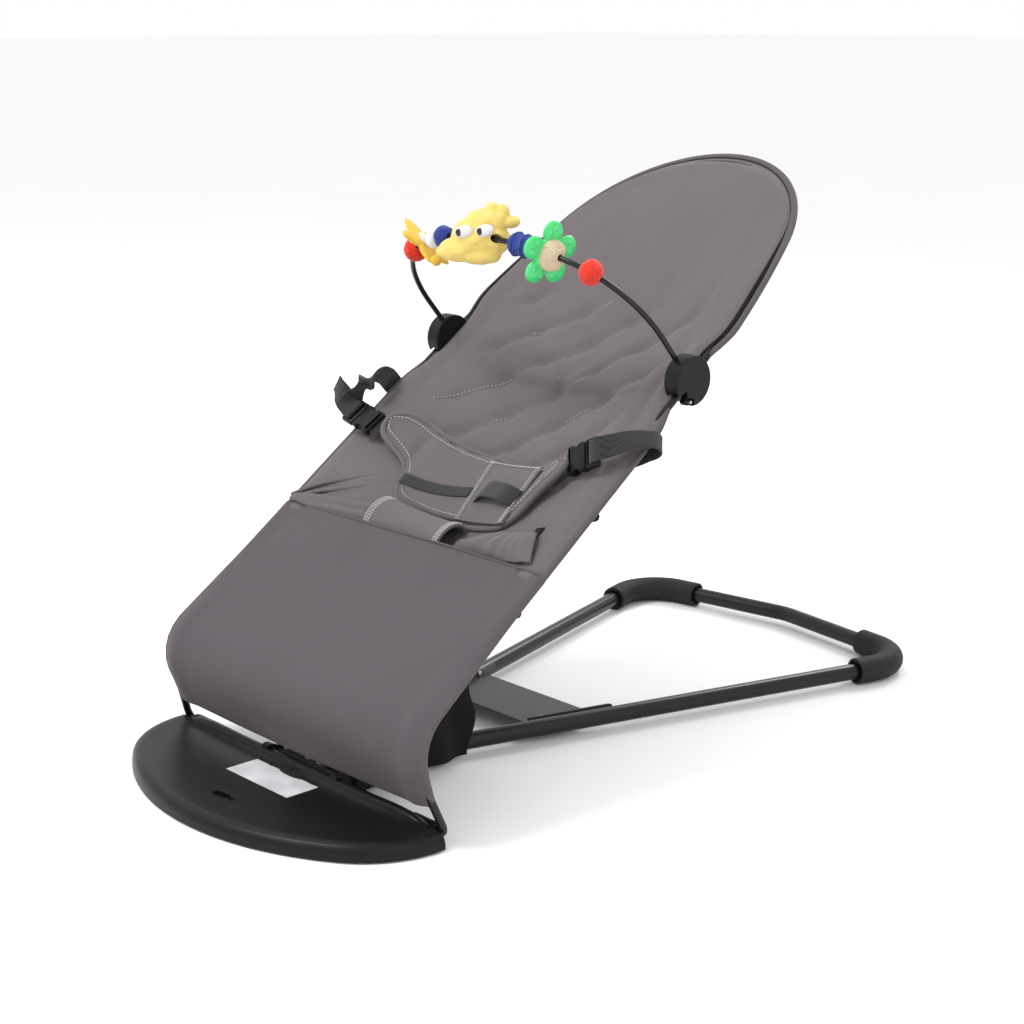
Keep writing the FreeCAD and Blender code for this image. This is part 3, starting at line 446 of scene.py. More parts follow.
class Flow:
    """A socket that takes part in shader arithmetic."""

    def __init__(self, shader, socket):
        self.shader = shader
        self.socket = socket

    def maths(self, operation, first, second=None):
        sockets = {0: first} if second is None else {0: first, 1: second}
        return self.shader.node("Math", {"operation": operation}, sockets)

    def __add__(self, other):
        return self.maths("ADD", self, other)

    def __radd__(self, other):
        return self.maths("ADD", other, self)

    def __sub__(self, other):
        return self.maths("SUBTRACT", self, other)

    def __rsub__(self, other):
        return self.maths("SUBTRACT", other, self)

    def __mul__(self, other):
        return self.maths("MULTIPLY", self, other)

    def __rmul__(self, other):
        return self.maths("MULTIPLY", other, self)

    def __pow__(self, other):
        return self.maths("POWER", self, other)


class Shader:
    """One material and the nodes that are added to it."""

    def __init__(self, name, **constants):
        self.material = bpy.data.materials.new(name)
        self.material.use_nodes = True
        self.nodes = self.material.node_tree.nodes
        self.links = self.material.node_tree.links
        self.surface = self.nodes["Principled BSDF"]
        for key, value in constants.items():
            self.surface.inputs[key.replace("_", " ")].default_value = value

    def node(self, kind, settings=None, sockets=None, output=0):
        made = self.nodes.new("ShaderNode" + kind)
        for key, value in (settings or {}).items():
            if key == "stops":
                while len(made.color_ramp.elements) < len(value):
                    made.color_ramp.elements.new(0.5)
                for element, (place, colour) in zip(made.color_ramp.elements, value):
                    element.position = place
                    element.color = colour
            else:
                setattr(made, key, value)
        for key, value in (sockets or {}).items():
            self.feed(made.inputs[key], value)
        return Flow(self, made.outputs[output])

    def feed(self, target, value):
        if isinstance(value, Flow):
            self.links.new(value.socket, target)
        else:
            target.default_value = value

    def place(self, scale=(1, 1, 1), turn=(0, 0, 0), source="Object"):
        """Texture coordinates, scaled and turned."""
        coordinates = self.node("TexCoord", output=source)
        return self.node("Mapping", {}, {"Vector": coordinates, "Scale": scale, "Rotation": turn})

    def noise(self, scale, detail=2.0, place=None, roughness=0.5):
        sockets = {"Scale": scale, "Detail": detail, "Roughness": roughness,
                   "Vector": place or self.node("TexCoord", output="Object")}
        return self.node("TexNoise", {}, sockets)

    def wave(self, scale, place, distortion=0.0, profile="SIN"):
        sockets = {"Scale": scale, "Distortion": distortion, "Detail": 1.0, "Vector": place}
        return self.node("TexWave", {"wave_profile": profile}, sockets, output=1)

    def mix(self, factor, first, second):
        """Two colours mixed by a factor."""
        return self.node("Mix", {"data_type": "RGBA"}, {0: factor, 6: first, 7: second}, output=2)

    def relief(self, height, strength, distance):
        """Bump from a height, into the surface's normal."""
        bumped = self.node("Bump", {}, {"Strength": strength, "Distance": distance,
                                        "Height": height})
        self.feed(self.surface.inputs["Normal"], bumped)

    def finish(self, colour=None, roughness=None):
        if colour is not None:
            self.feed(self.surface.inputs["Base Color"], colour)
        if roughness is not None:
            self.feed(self.surface.inputs["Roughness"], roughness)
        return self.material


def rgb(red, green, blue):
    return (red, green, blue, 1.0)


def moulded_plastic(name, dark, light, rough=0.42, grain=0.05):
    """Satin injection-moulded plastic with fine spark grain."""
    shader = Shader(name, Specular_IOR_Level=0.20)
    cloud = shader.noise(14, 3)
    speck = shader.noise(1400, 2)
    colour = shader.mix(cloud, dark, light)
    shader.relief(speck * 0.7 + cloud * 0.3, grain, 0.0004)
    return shader.finish(colour, rough + 0.10 * cloud + 0.05 * speck)


def coated_steel(name, dark, light, rough=0.22):
    """Glossy powder coat with faint orange peel."""
    shader = Shader(name, Specular_IOR_Level=0.32, Coat_Weight=0.04, Coat_Roughness=0.12)
    peel = shader.noise(420, 2)
    cloud = shader.noise(9, 3)
    shader.relief(peel, 0.08, 0.0004)
    return shader.finish(shader.mix(cloud, dark, light), rough + 0.12 * cloud)


def soft_rubber(name):
    shader = Shader(name, Specular_IOR_Level=0.20)
    cloud = shader.noise(30, 4)
    pores = shader.noise(900, 3)
    shader.relief(pores, 0.12, 0.0004)
    colour = shader.mix(cloud, rgb(0.012, 0.012, 0.013), rgb(0.024, 0.024, 0.025))
    return shader.finish(colour, 0.55 + 0.15 * cloud)


def twill(name, dark, light, threads=420, depth=0.30, sheen=0.12):
    """Fine twill: diagonal ribs crossed by yarns, over slow shade changes."""
    shader = Shader(name, Sheen_Weight=sheen, Sheen_Roughness=0.45, Specular_IOR_Level=0.18)
    ribs = shader.wave(threads, shader.place(turn=(0.3, 0.5, 0.8)), 1.5)
    yarns = shader.wave(threads * 1.3, shader.place(turn=(0.5, -0.4, -0.7)), 1.5)
    fuzz = shader.noise(950, 4, roughness=0.7)
    cloud = shader.noise(11, 5)
    weave = ribs * 0.15 + yarns * 0.10 + fuzz * 0.9
    colour = shader.mix(cloud * 0.45 + weave * 0.45, dark, light)
    shader.relief(weave, depth, 0.0006)
    return shader.finish(colour, 0.82 + 0.12 * fuzz)


def webbing_cloth(name):
    """Ribbed polyester webbing."""
    shader = Shader(name, Sheen_Weight=0.15, Specular_IOR_Level=0.3)
    ribs = shader.wave(190, shader.place(turn=(0.2, 0.3, 0.7)), 0.2)
    weft = shader.wave(260, shader.place(turn=(0.9, 0.2, -0.6)), 0.2)
    fuzz = shader.noise(1200, 2)
    weave = ribs * 0.5 + weft * 0.35 + fuzz * 0.3
    shader.relief(weave, 0.4, 0.0006)
    return shader.finish(shader.mix(weave, rgb(0.008, 0.008, 0.009), rgb(0.03, 0.03, 0.032)),
                         0.75 + 0.15 * fuzz)


def terry(name, dark, light, loop=520, sheen=0.25):
    """Looped pile: a bumpy cell pattern with soft sheen."""
    shader = Shader(name, Sheen_Weight=sheen, Sheen_Roughness=0.5, Specular_IOR_Level=0.12)
    cells = shader.node("TexVoronoi", {}, {"Scale": loop, "Vector": shader.node("TexCoord",
                                                                                output="Object")})
    fuzz = shader.noise(1500, 3)
    height = 1 - cells
    shader.relief(height * 0.8 + fuzz * 0.4, 0.75, 0.0012)
    return shader.finish(shader.mix(height * 0.6 + fuzz * 0.5, dark, light), 0.9 + 0.08 * fuzz)


def teether_rubber(name):
    shader = Shader(name, Specular_IOR_Level=0.5, Subsurface_Weight=0.25, Coat_Weight=0.2,
                    Coat_Roughness=0.2)
    shader.surface.inputs["Subsurface Radius"].default_value = (0.006, 0.012, 0.005)
    cloud = shader.noise(60, 3)
    shader.relief(shader.noise(300, 2), 0.06, 0.0005)
    colour = shader.mix(cloud, rgb(0.03, 0.50, 0.13), rgb(0.08, 0.72, 0.22))
    return shader.finish(colour, 0.25 + 0.15 * cloud)


def plain_gloss(name, colour, darker, rough=0.25):
    shader = Shader(name, Specular_IOR_Level=0.5, Coat_Weight=0.3, Coat_Roughness=0.1)
    cloud = shader.noise(80, 2)
    return shader.finish(shader.mix(cloud, darker, colour), rough + 0.1 * cloud)


def zinc(name):
    shader = Shader(name, Metallic=1.0)
    brushed = shader.noise(700, 2, shader.place(scale=(1, 8, 8)))
    shader.relief(brushed, 0.08, 0.0003)
    return shader.finish(shader.mix(brushed, rgb(0.42, 0.42, 0.44), rgb(0.62, 0.62, 0.64)),
                         0.3 + 0.15 * brushed)


def label_film(name):
    """Blank satin label: silver film with soft clouding."""
    shader = Shader(name, Specular_IOR_Level=0.5)
    cloud = shader.noise(45, 4)
    colour = shader.mix(cloud ** 1.5, rgb(0.42, 0.43, 0.45), rgb(0.86, 0.87, 0.88))
    shader.relief(shader.noise(500, 2), 0.05, 0.0003)
    return shader.finish(colour, 0.32 + 0.2 * cloud)


def floor_finish(name):
    shader = Shader(name, Specular_IOR_Level=0.1)
    cloud = shader.noise(3, 2)
    return shader.finish(shader.mix(cloud, rgb(0.93, 0.93, 0.93), rgb(0.96, 0.96, 0.96)),
                         0.8 + 0.05 * cloud)


PLATE = moulded_plastic("plate_plastic", rgb(0.004, 0.004, 0.0045), rgb(0.008, 0.008, 0.0085), 0.30)
PLASTIC = moulded_plastic("fitting_plastic", rgb(0.004, 0.004, 0.0045), rgb(0.009, 0.009, 0.010),
                          0.36)
PAINT = coated_steel("black_powder_coat", rgb(0.004, 0.004, 0.0045), rgb(0.008, 0.008, 0.009))
STRIP_PAINT = coated_steel("cross_strip_coat", rgb(0.040, 0.038, 0.042), rgb(0.055, 0.052, 0.057),
                           0.42)
BRACKET_GREY = moulded_plastic("bracket_grey", rgb(0.035, 0.035, 0.037), rgb(0.06, 0.06, 0.062),
                               0.4)
RUBBER = soft_rubber("sleeve_rubber")
SEAT_CLOTH = twill("seat_twill", rgb(0.098, 0.083, 0.088), rgb(0.158, 0.140, 0.146))
LEG_CLOTH = twill("leg_twill", rgb(0.070, 0.058, 0.067), rgb(0.112, 0.097, 0.108), sheen=0.08)
BIB_CLOTH = twill("bib_twill", rgb(0.095, 0.081, 0.086), rgb(0.152, 0.135, 0.141))
EDGE_CLOTH = twill("edge_binding_cloth", rgb(0.075, 0.064, 0.069), rgb(0.115, 0.102, 0.108))
# Near-black cloth: the curtains' own colour, also used as painted shade in the cover's edge groove and in
# the pouch's mouth.
CURTAIN_CLOTH_AND_SHADE = twill("curtain_cloth_and_painted_shade", rgb(0.004, 0.004, 0.004), rgb(0.010, 0.010, 0.010), 900, 0.2,
                      0.05)
WEBBING = webbing_cloth("black_webbing")
THREAD = twill("light_thread", rgb(0.30, 0.29, 0.30), rgb(0.52, 0.51, 0.52), 2500, 0.3, 0.2)
RED = terry("red_terry", rgb(0.42, 0.012, 0.006), rgb(0.85, 0.055, 0.030))
BLUE = terry("blue_terry", rgb(0.015, 0.024, 0.14), rgb(0.045, 0.075, 0.34), sheen=0.15)
YELLOW = terry("yellow_plush", rgb(0.72, 0.46, 0.08), rgb(0.95, 0.76, 0.26), 900)
DEEP_YELLOW = terry("deep_yellow_plush", rgb(0.68, 0.38, 0.02), rgb(0.92, 0.62, 0.08), 900)
BEIGE = terry("beige_knit", rgb(0.42, 0.31, 0.17), rgb(0.85, 0.74, 0.52), 700)
GREEN = teether_rubber("green_teether")
WHITE = plain_gloss("white_bead", rgb(0.82, 0.82, 0.80), rgb(0.68, 0.68, 0.67))
FELT_WHITE = terry("white_felt", rgb(0.70, 0.70, 0.69), rgb(0.88, 0.88, 0.87), 1200)
EYE = plain_gloss("dark_eye", rgb(0.02, 0.014, 0.01), rgb(0.01, 0.008, 0.006), 0.12)
ZINC = zinc("zinc_plate")
LABEL = label_film("blank_label")


def dress(piece, material):
    piece.data.materials.clear()
    piece.data.materials.append(material)
    return piece


# ---- the foot plate ---------------------------------------------------------------

PLATE_HALF = 0.1896
PLATE_DEPTH = 0.1245
PLATE_SIDE = 0.095
RIDGE_HALF = 0.158
RIDGE_TOP = 0.021
RIM_PROFILE = ((0.0, 1.2), (0.1, 4.0), (0.5, 7.5), (1.9, 10.8), (4.3, 13.2), (7.5, 14.6), (11,
                                                                                           15.0),
               (16, 14.8), (23, 14.2), (32, 13.4), (45, 12.6), (62, 12.1), (82, 12.0), (104, 12.0))


def plate_rim(angle):
    """The foot plate's outline by direction from the middle of its rear edge (0 right, pi left)."""
    side_x = PLATE_HALF - PLATE_SIDE
    front = (side_x ** 2 + PLATE_DEPTH ** 2 - PLATE_SIDE ** 2) / (2 * (PLATE_DEPTH - PLATE_SIDE))
    turn = math.asin(side_x / (front - PLATE_SIDE))
    way = Vector((math.cos(angle), -math.sin(angle)))
    if abs(math.atan2(way.x, -way.y)) < math.atan2(side_x + PLATE_SIDE * math.sin(turn),
                                                  PLATE_SIDE * math.cos(turn)):
        middle = Vector((0, front - PLATE_DEPTH))
        radius = front
    else:
        middle = Vector((math.copysign(side_x, way.x), 0))
        radius = PLATE_SIDE
    ahead = way.dot(middle)
    return way * (ahead + math.sqrt(ahead ** 2 - middle.length_squared + radius ** 2))


def plate_height(x, back, rim_z):
    """Top of the plate: the rim and dish, with the slope that climbs to the ridge."""
    climb = (1 - smooth(back, 0.0, 0.013)) * (1 - smooth(abs(x), 0.150, 0.172))
    return max(rim_z, rim_z + (RIDGE_TOP - 0.0015 - rim_z) * climb)


def make_foot_plate():
    """Dished shell with a rounded rim, a slot and a rolled ridge along its rear."""
    widest = RIM_PROFILE[-1][0] * MM

    def place(s, t):
        angle = math.pi * (s + 1) / 2
        rim = plate_rim(angle)
        row = (t + 1) / 2 * (len(RIM_PROFILE) - 1)
        index = min(int(row + 0.001), len(RIM_PROFILE) - 2)
        share = row - index
        inner, outer = RIM_PROFILE[index + 1], RIM_PROFILE[index]
        depth = (outer[0] + (inner[0] - outer[0]) * share) * MM
        height = (outer[1] + (inner[1] - outer[1]) * share) * MM
        depth = depth * rim.length / widest if depth > 0.02 else depth
        place_xy = rim * max(1 - depth / rim.length, 0)
        return Vector((place_xy.x, RIDGE_Y + place_xy.y, plate_height(place_xy.x, -place_xy.y,
                                                                      height)))

    plate = grid("foot_plate_shell", 120, (len(RIM_PROFILE) - 1) * 3, place)
    edit(plate, (bpy.ops.mesh.remove_doubles, {"threshold": 0.0002}))
    face_out(plate)
    if sum(polygon.normal.z for polygon in plate.data.polygons) < 0:
        edit(plate, (bpy.ops.mesh.flip_normals, {}))
    add_modifier(plate, "SOLIDIFY", thickness=0.0028, offset=-1)
    apply_modifiers(plate)
    slot = rounded_box("slot_cutter", (0.028, 0.010, 0.06), 0.0049, 6)
    for vertex in slot.data.vertices:
        vertex.co.z = math.copysign(0.03, vertex.co.z)
    put(slot, Matrix.Translation((0, RIDGE_Y - 0.082, 0.01)))
    cut(plate, slot)
    soften(plate, 50)
    dress(plate, PLATE)

    ridge_points = [Vector((x * RIDGE_HALF, RIDGE_Y - 0.0008, 0.0155 - 0.0045 * smooth(abs(x), 0.93,
                                                                                       1.06)))
                    for x in (-1.075, -1.04, -0.99, -0.93, -0.5, 0, 0.5, 0.93, 0.99, 1.04, 1.075)]
    ridge = piping("plate_ridge", ridge_points, 0.0052)
    dress(ridge, PLATE)
    lip = piping("slot_lip", slot_ring(), 0.0011, closed=True)
    dress(lip, PLATE)
    bosses = []
    for side, word in ((-1, "left"), (1, "right")):
        boss = disc("plate_boss_" + word, 0.0074, 0.031, 0.001)
        hole = disc("boss_hole", 0.0055, 0.05, 0.0001)
        cut(boss, hole)
        pivot = JOINTS["seat_recline"]["pos_m"]
        put(boss, Matrix.Translation((side * 0.1555, pivot[1], pivot[2])))
        web = rounded_box("web", (0.031, 0.016, 0.010), 0.003)
        put(web, Matrix.Translation((side * 0.1555, pivot[1] - 0.0125, pivot[2] - 0.001)))
        bosses.append(dress(join("plate_boss_" + word, web, boss), PLATE))
    for piece in (plate, ridge, lip, *bosses):
        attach(piece, "base_frame")
    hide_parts("foot_plate")


def slot_ring():
    """The outline of the foot plate's slot."""
    points = []
    for step in range(24):
        angle = math.tau * step / 24
        x = 0.0092 * math.copysign(1, math.cos(angle)) + 0.0052 * math.cos(angle)
        points.append(Vector((x, RIDGE_Y - 0.082 + 0.0052 * math.sin(angle), 0.0122)))
    return points


# ---- the seat cover ---------------------------------------------------------------

def cover_place(s, t):
    """Back cover's outline map: (-1..1, -1..1) to (x, u, across), round at the head."""
    start = -0.006
    split = -0.30
    if t <= split:
        u = start + (SEAT_SIDE - start) * (t + 1) / (split + 1)
        return s * side_half(u), u, s
    rise = (t - split) / (1 - split)
    flat = s * math.sqrt(1 - rise * rise / 2)
    tall = rise * math.sqrt(1 - s * s / 2)
    reach = math.hypot(flat, tall)
    if reach < 1e-9:
        return 0.0, SEAT_SIDE, 0.0
    share = math.atan2(abs(flat), tall) / (math.pi / 2)
    x, u = head_outline(share)
    return math.copysign(x, flat) * reach, SEAT_SIDE + (u - SEAT_SIDE) * reach, reach


def thickness_at(edge):
    """Half thickness of the cover by distance in from its edge."""
    rolled = 0.0016 + 0.0036 * smooth(edge, 0.0060, 0.0120)
    return rolled + 0.0012 * smooth(edge, 0.015, 0.060)


def long_crease(x, u, edge):
    """Soft folds that run inside the cover's edge."""
    if x > 0:
        line = 0.034 + 0.10 * max(u - 0.16, 0) + 0.004 * math.sin(u * 21)
        fold = 0.0030 * bump(edge - line, 0.011) * smooth(u, 0.06, 0.17) * (1 - smooth(u, 0.30,
                                                                                       0.42))
        second = 0.075 + 0.30 * max(u - 0.25, 0)
        return fold + 0.0022 * bump(edge - second, 0.016) * smooth(u, 0.20,
                                                                   0.28) * (1 - smooth(u, 0.36,
                                                                                       0.46))
    line = 0.040 + 0.006 * math.sin(u * 17)
    return 0.0020 * bump(edge - line, 0.014) * smooth(u, 0.08, 0.16) * (1 - smooth(u, 0.28, 0.40))


def make_back_cover():
    """Padded cover from the thigh seam to the head, puffed by simulation and quilted."""
    columns, rows = 72, 120
    places = []

    def place(s, t):
        x, u, across = cover_place(s, t)
        half_gap = head_gap(x, u, across)
        places.append((x, u, half_gap))
        return seat(x, u, hollow(1 - half_gap / 0.176, u) if half_gap < 0.176 else hollow(0, u))

    cover = grid("back_cover", columns, rows, place)
    layer = [(x, u, edge) for x, u, edge in places]
    group_weights = [thickness_at(edge) / 0.0075 for _, _, edge in layer]
    made = cover.vertex_groups.new(name="thick")
    for index, weight in enumerate(group_weights):
        made.add([index], weight, "REPLACE")
    add_modifier(cover, "SOLIDIFY", thickness=0.015, offset=0, vertex_group="thick",
                 use_even_offset=False)
    apply_modifiers(cover)
    face_out(cover)
    press_cover(cover, 0.85)
    inflate(cover, cover_held, 3.5, 0.0035)
    subdivide(cover)
    press_cover(cover, 0.40)
    for vertex in cover.data.vertices:
        x, u, _ = seat_coordinates(vertex.co)
        vertex.co.x = gathered(x, u)
    soften(cover, 60)
    dress(cover, SEAT_CLOTH)
    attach(cover, "seat")
    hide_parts("back_pad")

    rows = []
    for start, end in (((-115, 163), (-19, 254)), ((-44, 164), (-34, 173)), ((27, 237), (37, 247)),
                       ((-74, 272), (-57, 283)), ((-17, 315), (-9, 325)), ((40, 182), (58, 200))):
        row = []
        for step in range(9):
            x = (start[0] + (end[0] - start[0]) * step / 8) * MM
            u = (start[1] + (end[1] - start[1]) * step / 8) * MM
            row.append(seat(x, u, cover_top(x, u) + 0.0022 - quilt_depth(x, u) * 1.15))
        rows.append(row)
    thread = dress(stitching("quilt_thread", rows, 0.0022, 0.0016, 0.00032), THREAD)
    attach(thread, "seat")


def head_gap(x, u, across):
    """Distance in from the cover's outer edge."""
    if u <= SEAT_SIDE:
        return side_half(u) - abs(x)
    outer = Vector((abs(x), u - SEAT_SIDE)).length / max(abs(across), 1e-6)
    return outer * (1 - abs(across)) * (0.62 + 0.38 * smooth(abs(x), 0, 0.15))


def seat_coordinates(point):
    """(x, u, n) of a point that lies on the slope above the knee."""
    local = point - SEAM
    return local.x, local.dot(UP), local.dot(OUT)


def edge_distance(x, u):
    """Rough distance in from the cover's outer edge, anywhere on the slope."""
    if u <= SEAT_SIDE:
        return side_half(u) - abs(x)
    centre = CROWN_TOP - CROWN_BEND
    crown = CROWN_BEND - math.hypot(x, u - centre)
    gap = SHOULDER_BEND - CROWN_BEND
    middle_x = gap * math.sin(CROWN_ANGLE)
    middle_u = centre - gap * math.cos(CROWN_ANGLE)
    shoulder = SHOULDER_BEND - math.hypot(abs(x) + middle_x, u - middle_u)
    if u > centre and math.atan2(abs(x), u - centre) < CROWN_ANGLE:
        return crown
    return shoulder


def press_cover(cover, share):
    """Draws both layers in along the quilting, and lays the long creases."""
    for vertex in cover.data.vertices:
        x, u, n = seat_coordinates(vertex.co)
        middle = hollow(1 - edge_distance(x, u) / 0.176, u)
        top = n > middle
        depth = quilt_depth(x, u)
        if top:
            depth += long_crease(x, u, edge_distance(x, u))
        vertex.co += OUT * (-depth if top else depth * 0.6) * share


def cover_held(point):
    """Edges and quilting lines that the simulation may not move."""
    x, u, _ = seat_coordinates(point)
    rim = 1 - smooth(edge_distance(x, u), 0.018, 0.045)
    seam = 1 - smooth(u, -0.03, 0.0)
    return max(rim, seam, min(quilt_depth(x, u) / 0.0035, 1) * 0.95)


def make_leg_cover():
    """Plain taut sheet from the thigh seam, round the knee bend, to the hem."""
    top = 0.004

    def place(s, t):
        u = top + (HEM - top) * (1 - t) / 2
        half = side_half(u)
        slack = 0.0035 * bump(u + 0.09, 0.06) * (1 - s * s)
        hem_curve = 0.004 * (1 - s * s) * smooth(-u, 0.19, 0.2285)
        gap = half * (1 - abs(s)) - edge_inset(u)
        level = 0.0037 * smooth(gap, 0.0, 0.020)
        return seat(s * half, u - hem_curve, level - slack)

    sheet = grid("leg_cover", 72, 60, place)
    made = sheet.vertex_groups.new(name="thick")
    for vertex in sheet.data.vertices:
        edge = max(0.178 - abs(vertex.co.x), 0)
        over_wire = (1 - smooth(edge, 0.010, 0.030)) * smooth(edge, -0.004, 0.006)
        made.add([vertex.index], (0.0012 + 0.0038 * over_wire) / 0.0055, "REPLACE")
    add_modifier(sheet, "SOLIDIFY", thickness=0.011, offset=0, vertex_group="thick",
                 use_even_offset=False)
    apply_modifiers(sheet)
    face_out(sheet)
    subdivide(sheet)
    soften(sheet, 60)
    dress(sheet, LEG_CLOTH)
    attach(sheet, "seat")
    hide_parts("leg_panel")


def outline_points(inset=0.0, step=0.010, lift=0.0, low=HEM):
    """The cover's outer edge, from the right hem corner round the head to the left one."""
    right = []
    count = max(int((SEAT_SIDE - low) / step), 2)
    for number in range(count):
        u = low + (SEAT_SIDE - low) * number / count
        right.append(seat(gathered(side_half(u) - inset, u), u, lift))
    for number in range(61):
        x, u = head_outline(1 - number / 60, inset)
        right.append(seat(gathered(x, u), u, lift))
    left = [Vector((-point.x, point.y, point.z)) for point in right[-2::-1]]
    return right + left


def make_edge_binding():
    """Folded binding sewn round the cover's outer edge, with near-black cords just inside it as painted
    shade for the groove and for the gap where the binding lifts.
    """
    middle = outline_points(0.0030)
    inner = outline_points(0.0060)
    across = [(first - second).normalized() for first, second in zip(outline_points(), inner)]
    binding = ribbon("edge_binding", middle, across, 0.0060, 0.0046, 3)
    dress(binding, EDGE_CLOTH)
    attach(binding, "seat")
    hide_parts("edge_channel")
    # The near-black cords inside the edge are painted shade: the groove's shadow, thicker where the
    # binding lifts off the cover.
    for side, word in ((-1, "left"), (1, "right")):
        points = []
        radii = []
        for number in range(47):
            if number < 24:
                u = 0.010 + (SEAT_SIDE - 0.010) * number / 24
                x = side_half(u) - 0.0068
            else:
                x, u = head_outline(1 - (number - 24) / 22, 0.0068)
            radii.append(0.0008 + 0.0019 * smooth(u, 0.250, 0.275) * (1 - smooth(u, 0.36, 0.46)))
            points.append(seat(side * gathered(x, u), u, 0.0014 + radii[-1] * 0.2))
        gap = piping("edge_gap_" + word, points, 1.0, radii=radii)
        dress(gap, CURTAIN_CLOTH_AND_SHADE)
        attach(gap, "seat")


def make_thigh_hem():
    """Folded hem with its seam where the leg cover ends."""
    points = [seat(x * side_half(0), 0.0036 + 0.0012 * bump(x * 3 - 1, 1),
                   0.0046 - 0.0042 * smooth(abs(x), 0.95, 1.0))
              for x in [number / 15 - 1 for number in range(31)]]
    hem = piping("thigh_hem", points, 0.0012)
    dress(hem, LEG_CLOTH)
    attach(hem, "seat")


# ---- harness ----------------------------------------------------------------------

BIB_OUTLINE = ((-123, 106), (-124, 117), (-112, 128), (-96, 131), (-72, 127), (-40, 122), (0, 119),
               (40, 116), (70, 116), (92, 120), (106, 121), (115, 113), (113, 100), (104, 86), (98,
                                                                                                70),
               (94, 56), (84, 46), (60, 41), (20, 39), (-30, 40), (-62, 46), (-72, 58), (-76, 72),
               (-86, 84), (-104, 92), (-117, 98))


def bib_lift(x, u):
    return cover_top(x, u) + 0.0012 + 0.010 * smooth(abs(x), 0.075, 0.122)


def bib_border(count=120, inset=0.0):
    points = [Vector((x * MM, u * MM, 0)) for x, u in BIB_OUTLINE]
    line = spline(points + points[:1], count + 1)[:-1]
    if inset:
        line = [point + inward(line, index) * inset for index, point in enumerate(line)]
    return line


def inward(line, index):
    ahead = line[(index + 1) % len(line)] - line[index - 1]
    return Vector((ahead.y, -ahead.x, 0)).normalized()


def make_bib():
    """Padded bib with bound edge, topstitching, a stitched patch and webbing."""
    line = bib_border()
    if inward(line, 0).x < 0:
        line.reverse()
    half = len(line) // 2

    bpy.ops.object.select_all(action="DESELECT")
    bpy.ops.mesh.primitive_circle_add(vertices=len(line), radius=1, fill_type="NOTHING")
    bib = newest("waist_bib_pad")
    for vertex, point in zip(bib.data.vertices, line):
        vertex.co = point
    pick(bib)
    bpy.ops.object.mode_set(mode="EDIT")
    bpy.ops.mesh.select_all(action="SELECT")
    bpy.ops.mesh.fill()
    bpy.ops.mesh.subdivide(number_cuts=2)
    bpy.ops.object.mode_set(mode="OBJECT")
    add_modifier(bib, "SOLIDIFY", thickness=0.007, offset=1)
    apply_modifiers(bib)
    face_out(bib)
    add_modifier(bib, "REMESH", mode="VOXEL", voxel_size=0.0032)
    apply_modifiers(bib)
    for vertex in bib.data.vertices:
        x, u, n = vertex.co
        vertex.co = seat(x, u, bib_lift(x, u) + n)
    inflate(bib, lambda point: 0.0, 3.0, 0.0028, 14)
    soften(bib, 70)
    dress(bib, BIB_CLOTH)
    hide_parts("waist_bib")
    pieces = [bib]

    def on_bib(x, u, lift=0.0098):
        return seat(x, u, bib_lift(x, u) + lift)

    edge = [seat(p.x, p.y, bib_lift(p.x, p.y) + 0.0042) for p in line]
    pieces.append(dress(piping("bib_binding", edge, 0.0029, closed=True), BIB_CLOTH))
    inner = [p + inward(line, i) * 0.0075 for i, p in enumerate(line)]
    rows = [[on_bib(p.x, p.y) for p in inner[low:high]] for low, high in ((0, half), (half,
                                                                                      len(line)))]
    pieces.append(dress(stitching("bib_topstitch", rows), THREAD))

    corners = ((6, 113), (78, 113), (88, 44), (20, 42))
    patch_map = [Vector((x * MM, u * MM, 0)) for x, u in corners]

    def patch_place(s, t):
        top = patch_map[0].lerp(patch_map[1], (s + 1) / 2)
        low = patch_map[3].lerp(patch_map[2], (s + 1) / 2)
        spot = low.lerp(top, (t + 1) / 2)
        puff = 0.0015 * (1 - s ** 4) * (1 - t ** 4)
        return on_bib(spot.x, spot.y, 0.0088 + puff)

    patch = grid("bib_patch", 24, 24, patch_place)
    add_modifier(patch, "SOLIDIFY", thickness=0.0022, offset=0)
    apply_modifiers(patch)
    pieces.append(dress(soften(face_out(patch), 60), BIB_CLOTH))
    bands = []
    for s in (-0.93, -0.85, 0.85, 0.93):
        bands.append([patch_place(s, t / 6 - 1) + OUT * 0.0018 for t in range(13)])
    bands.append([patch_place(t / 6 - 1, 0.95) + OUT * 0.0018 for t in range(13)])
    pieces.append(dress(stitching("patch_stitch", bands, 0.0022, 0.0006, 0.0007), THREAD))
    for piece in pieces:
        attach(piece, "seat")

    strip = [on_bib(x * MM, u * MM, 0.0105) for x, u in ((-70, 66), (-45, 66), (-20, 68), (0, 71),
                                                         (14, 74))]
    lines = [spline(strip, 16)]
    loop = [on_bib(28 * MM, 72 * MM, 0.011), on_bib(38 * MM, 74 * MM, 0.018), on_bib(54 * MM,
                                                                                     74 * MM,
                                                                                     0.020),
            on_bib(72 * MM, 72 * MM, 0.0185), on_bib(82 * MM, 72 * MM, 0.011)]
    lines.append(spline(loop, 18))
    for name, path, wide in zip(("bib_strip", "bib_loop"), lines, (0.012, 0.019)):
        band = ribbon(name, path, [UP.copy() for _ in path], wide, 0.0016)
        dress(band, WEBBING)
        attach(band, "seat")


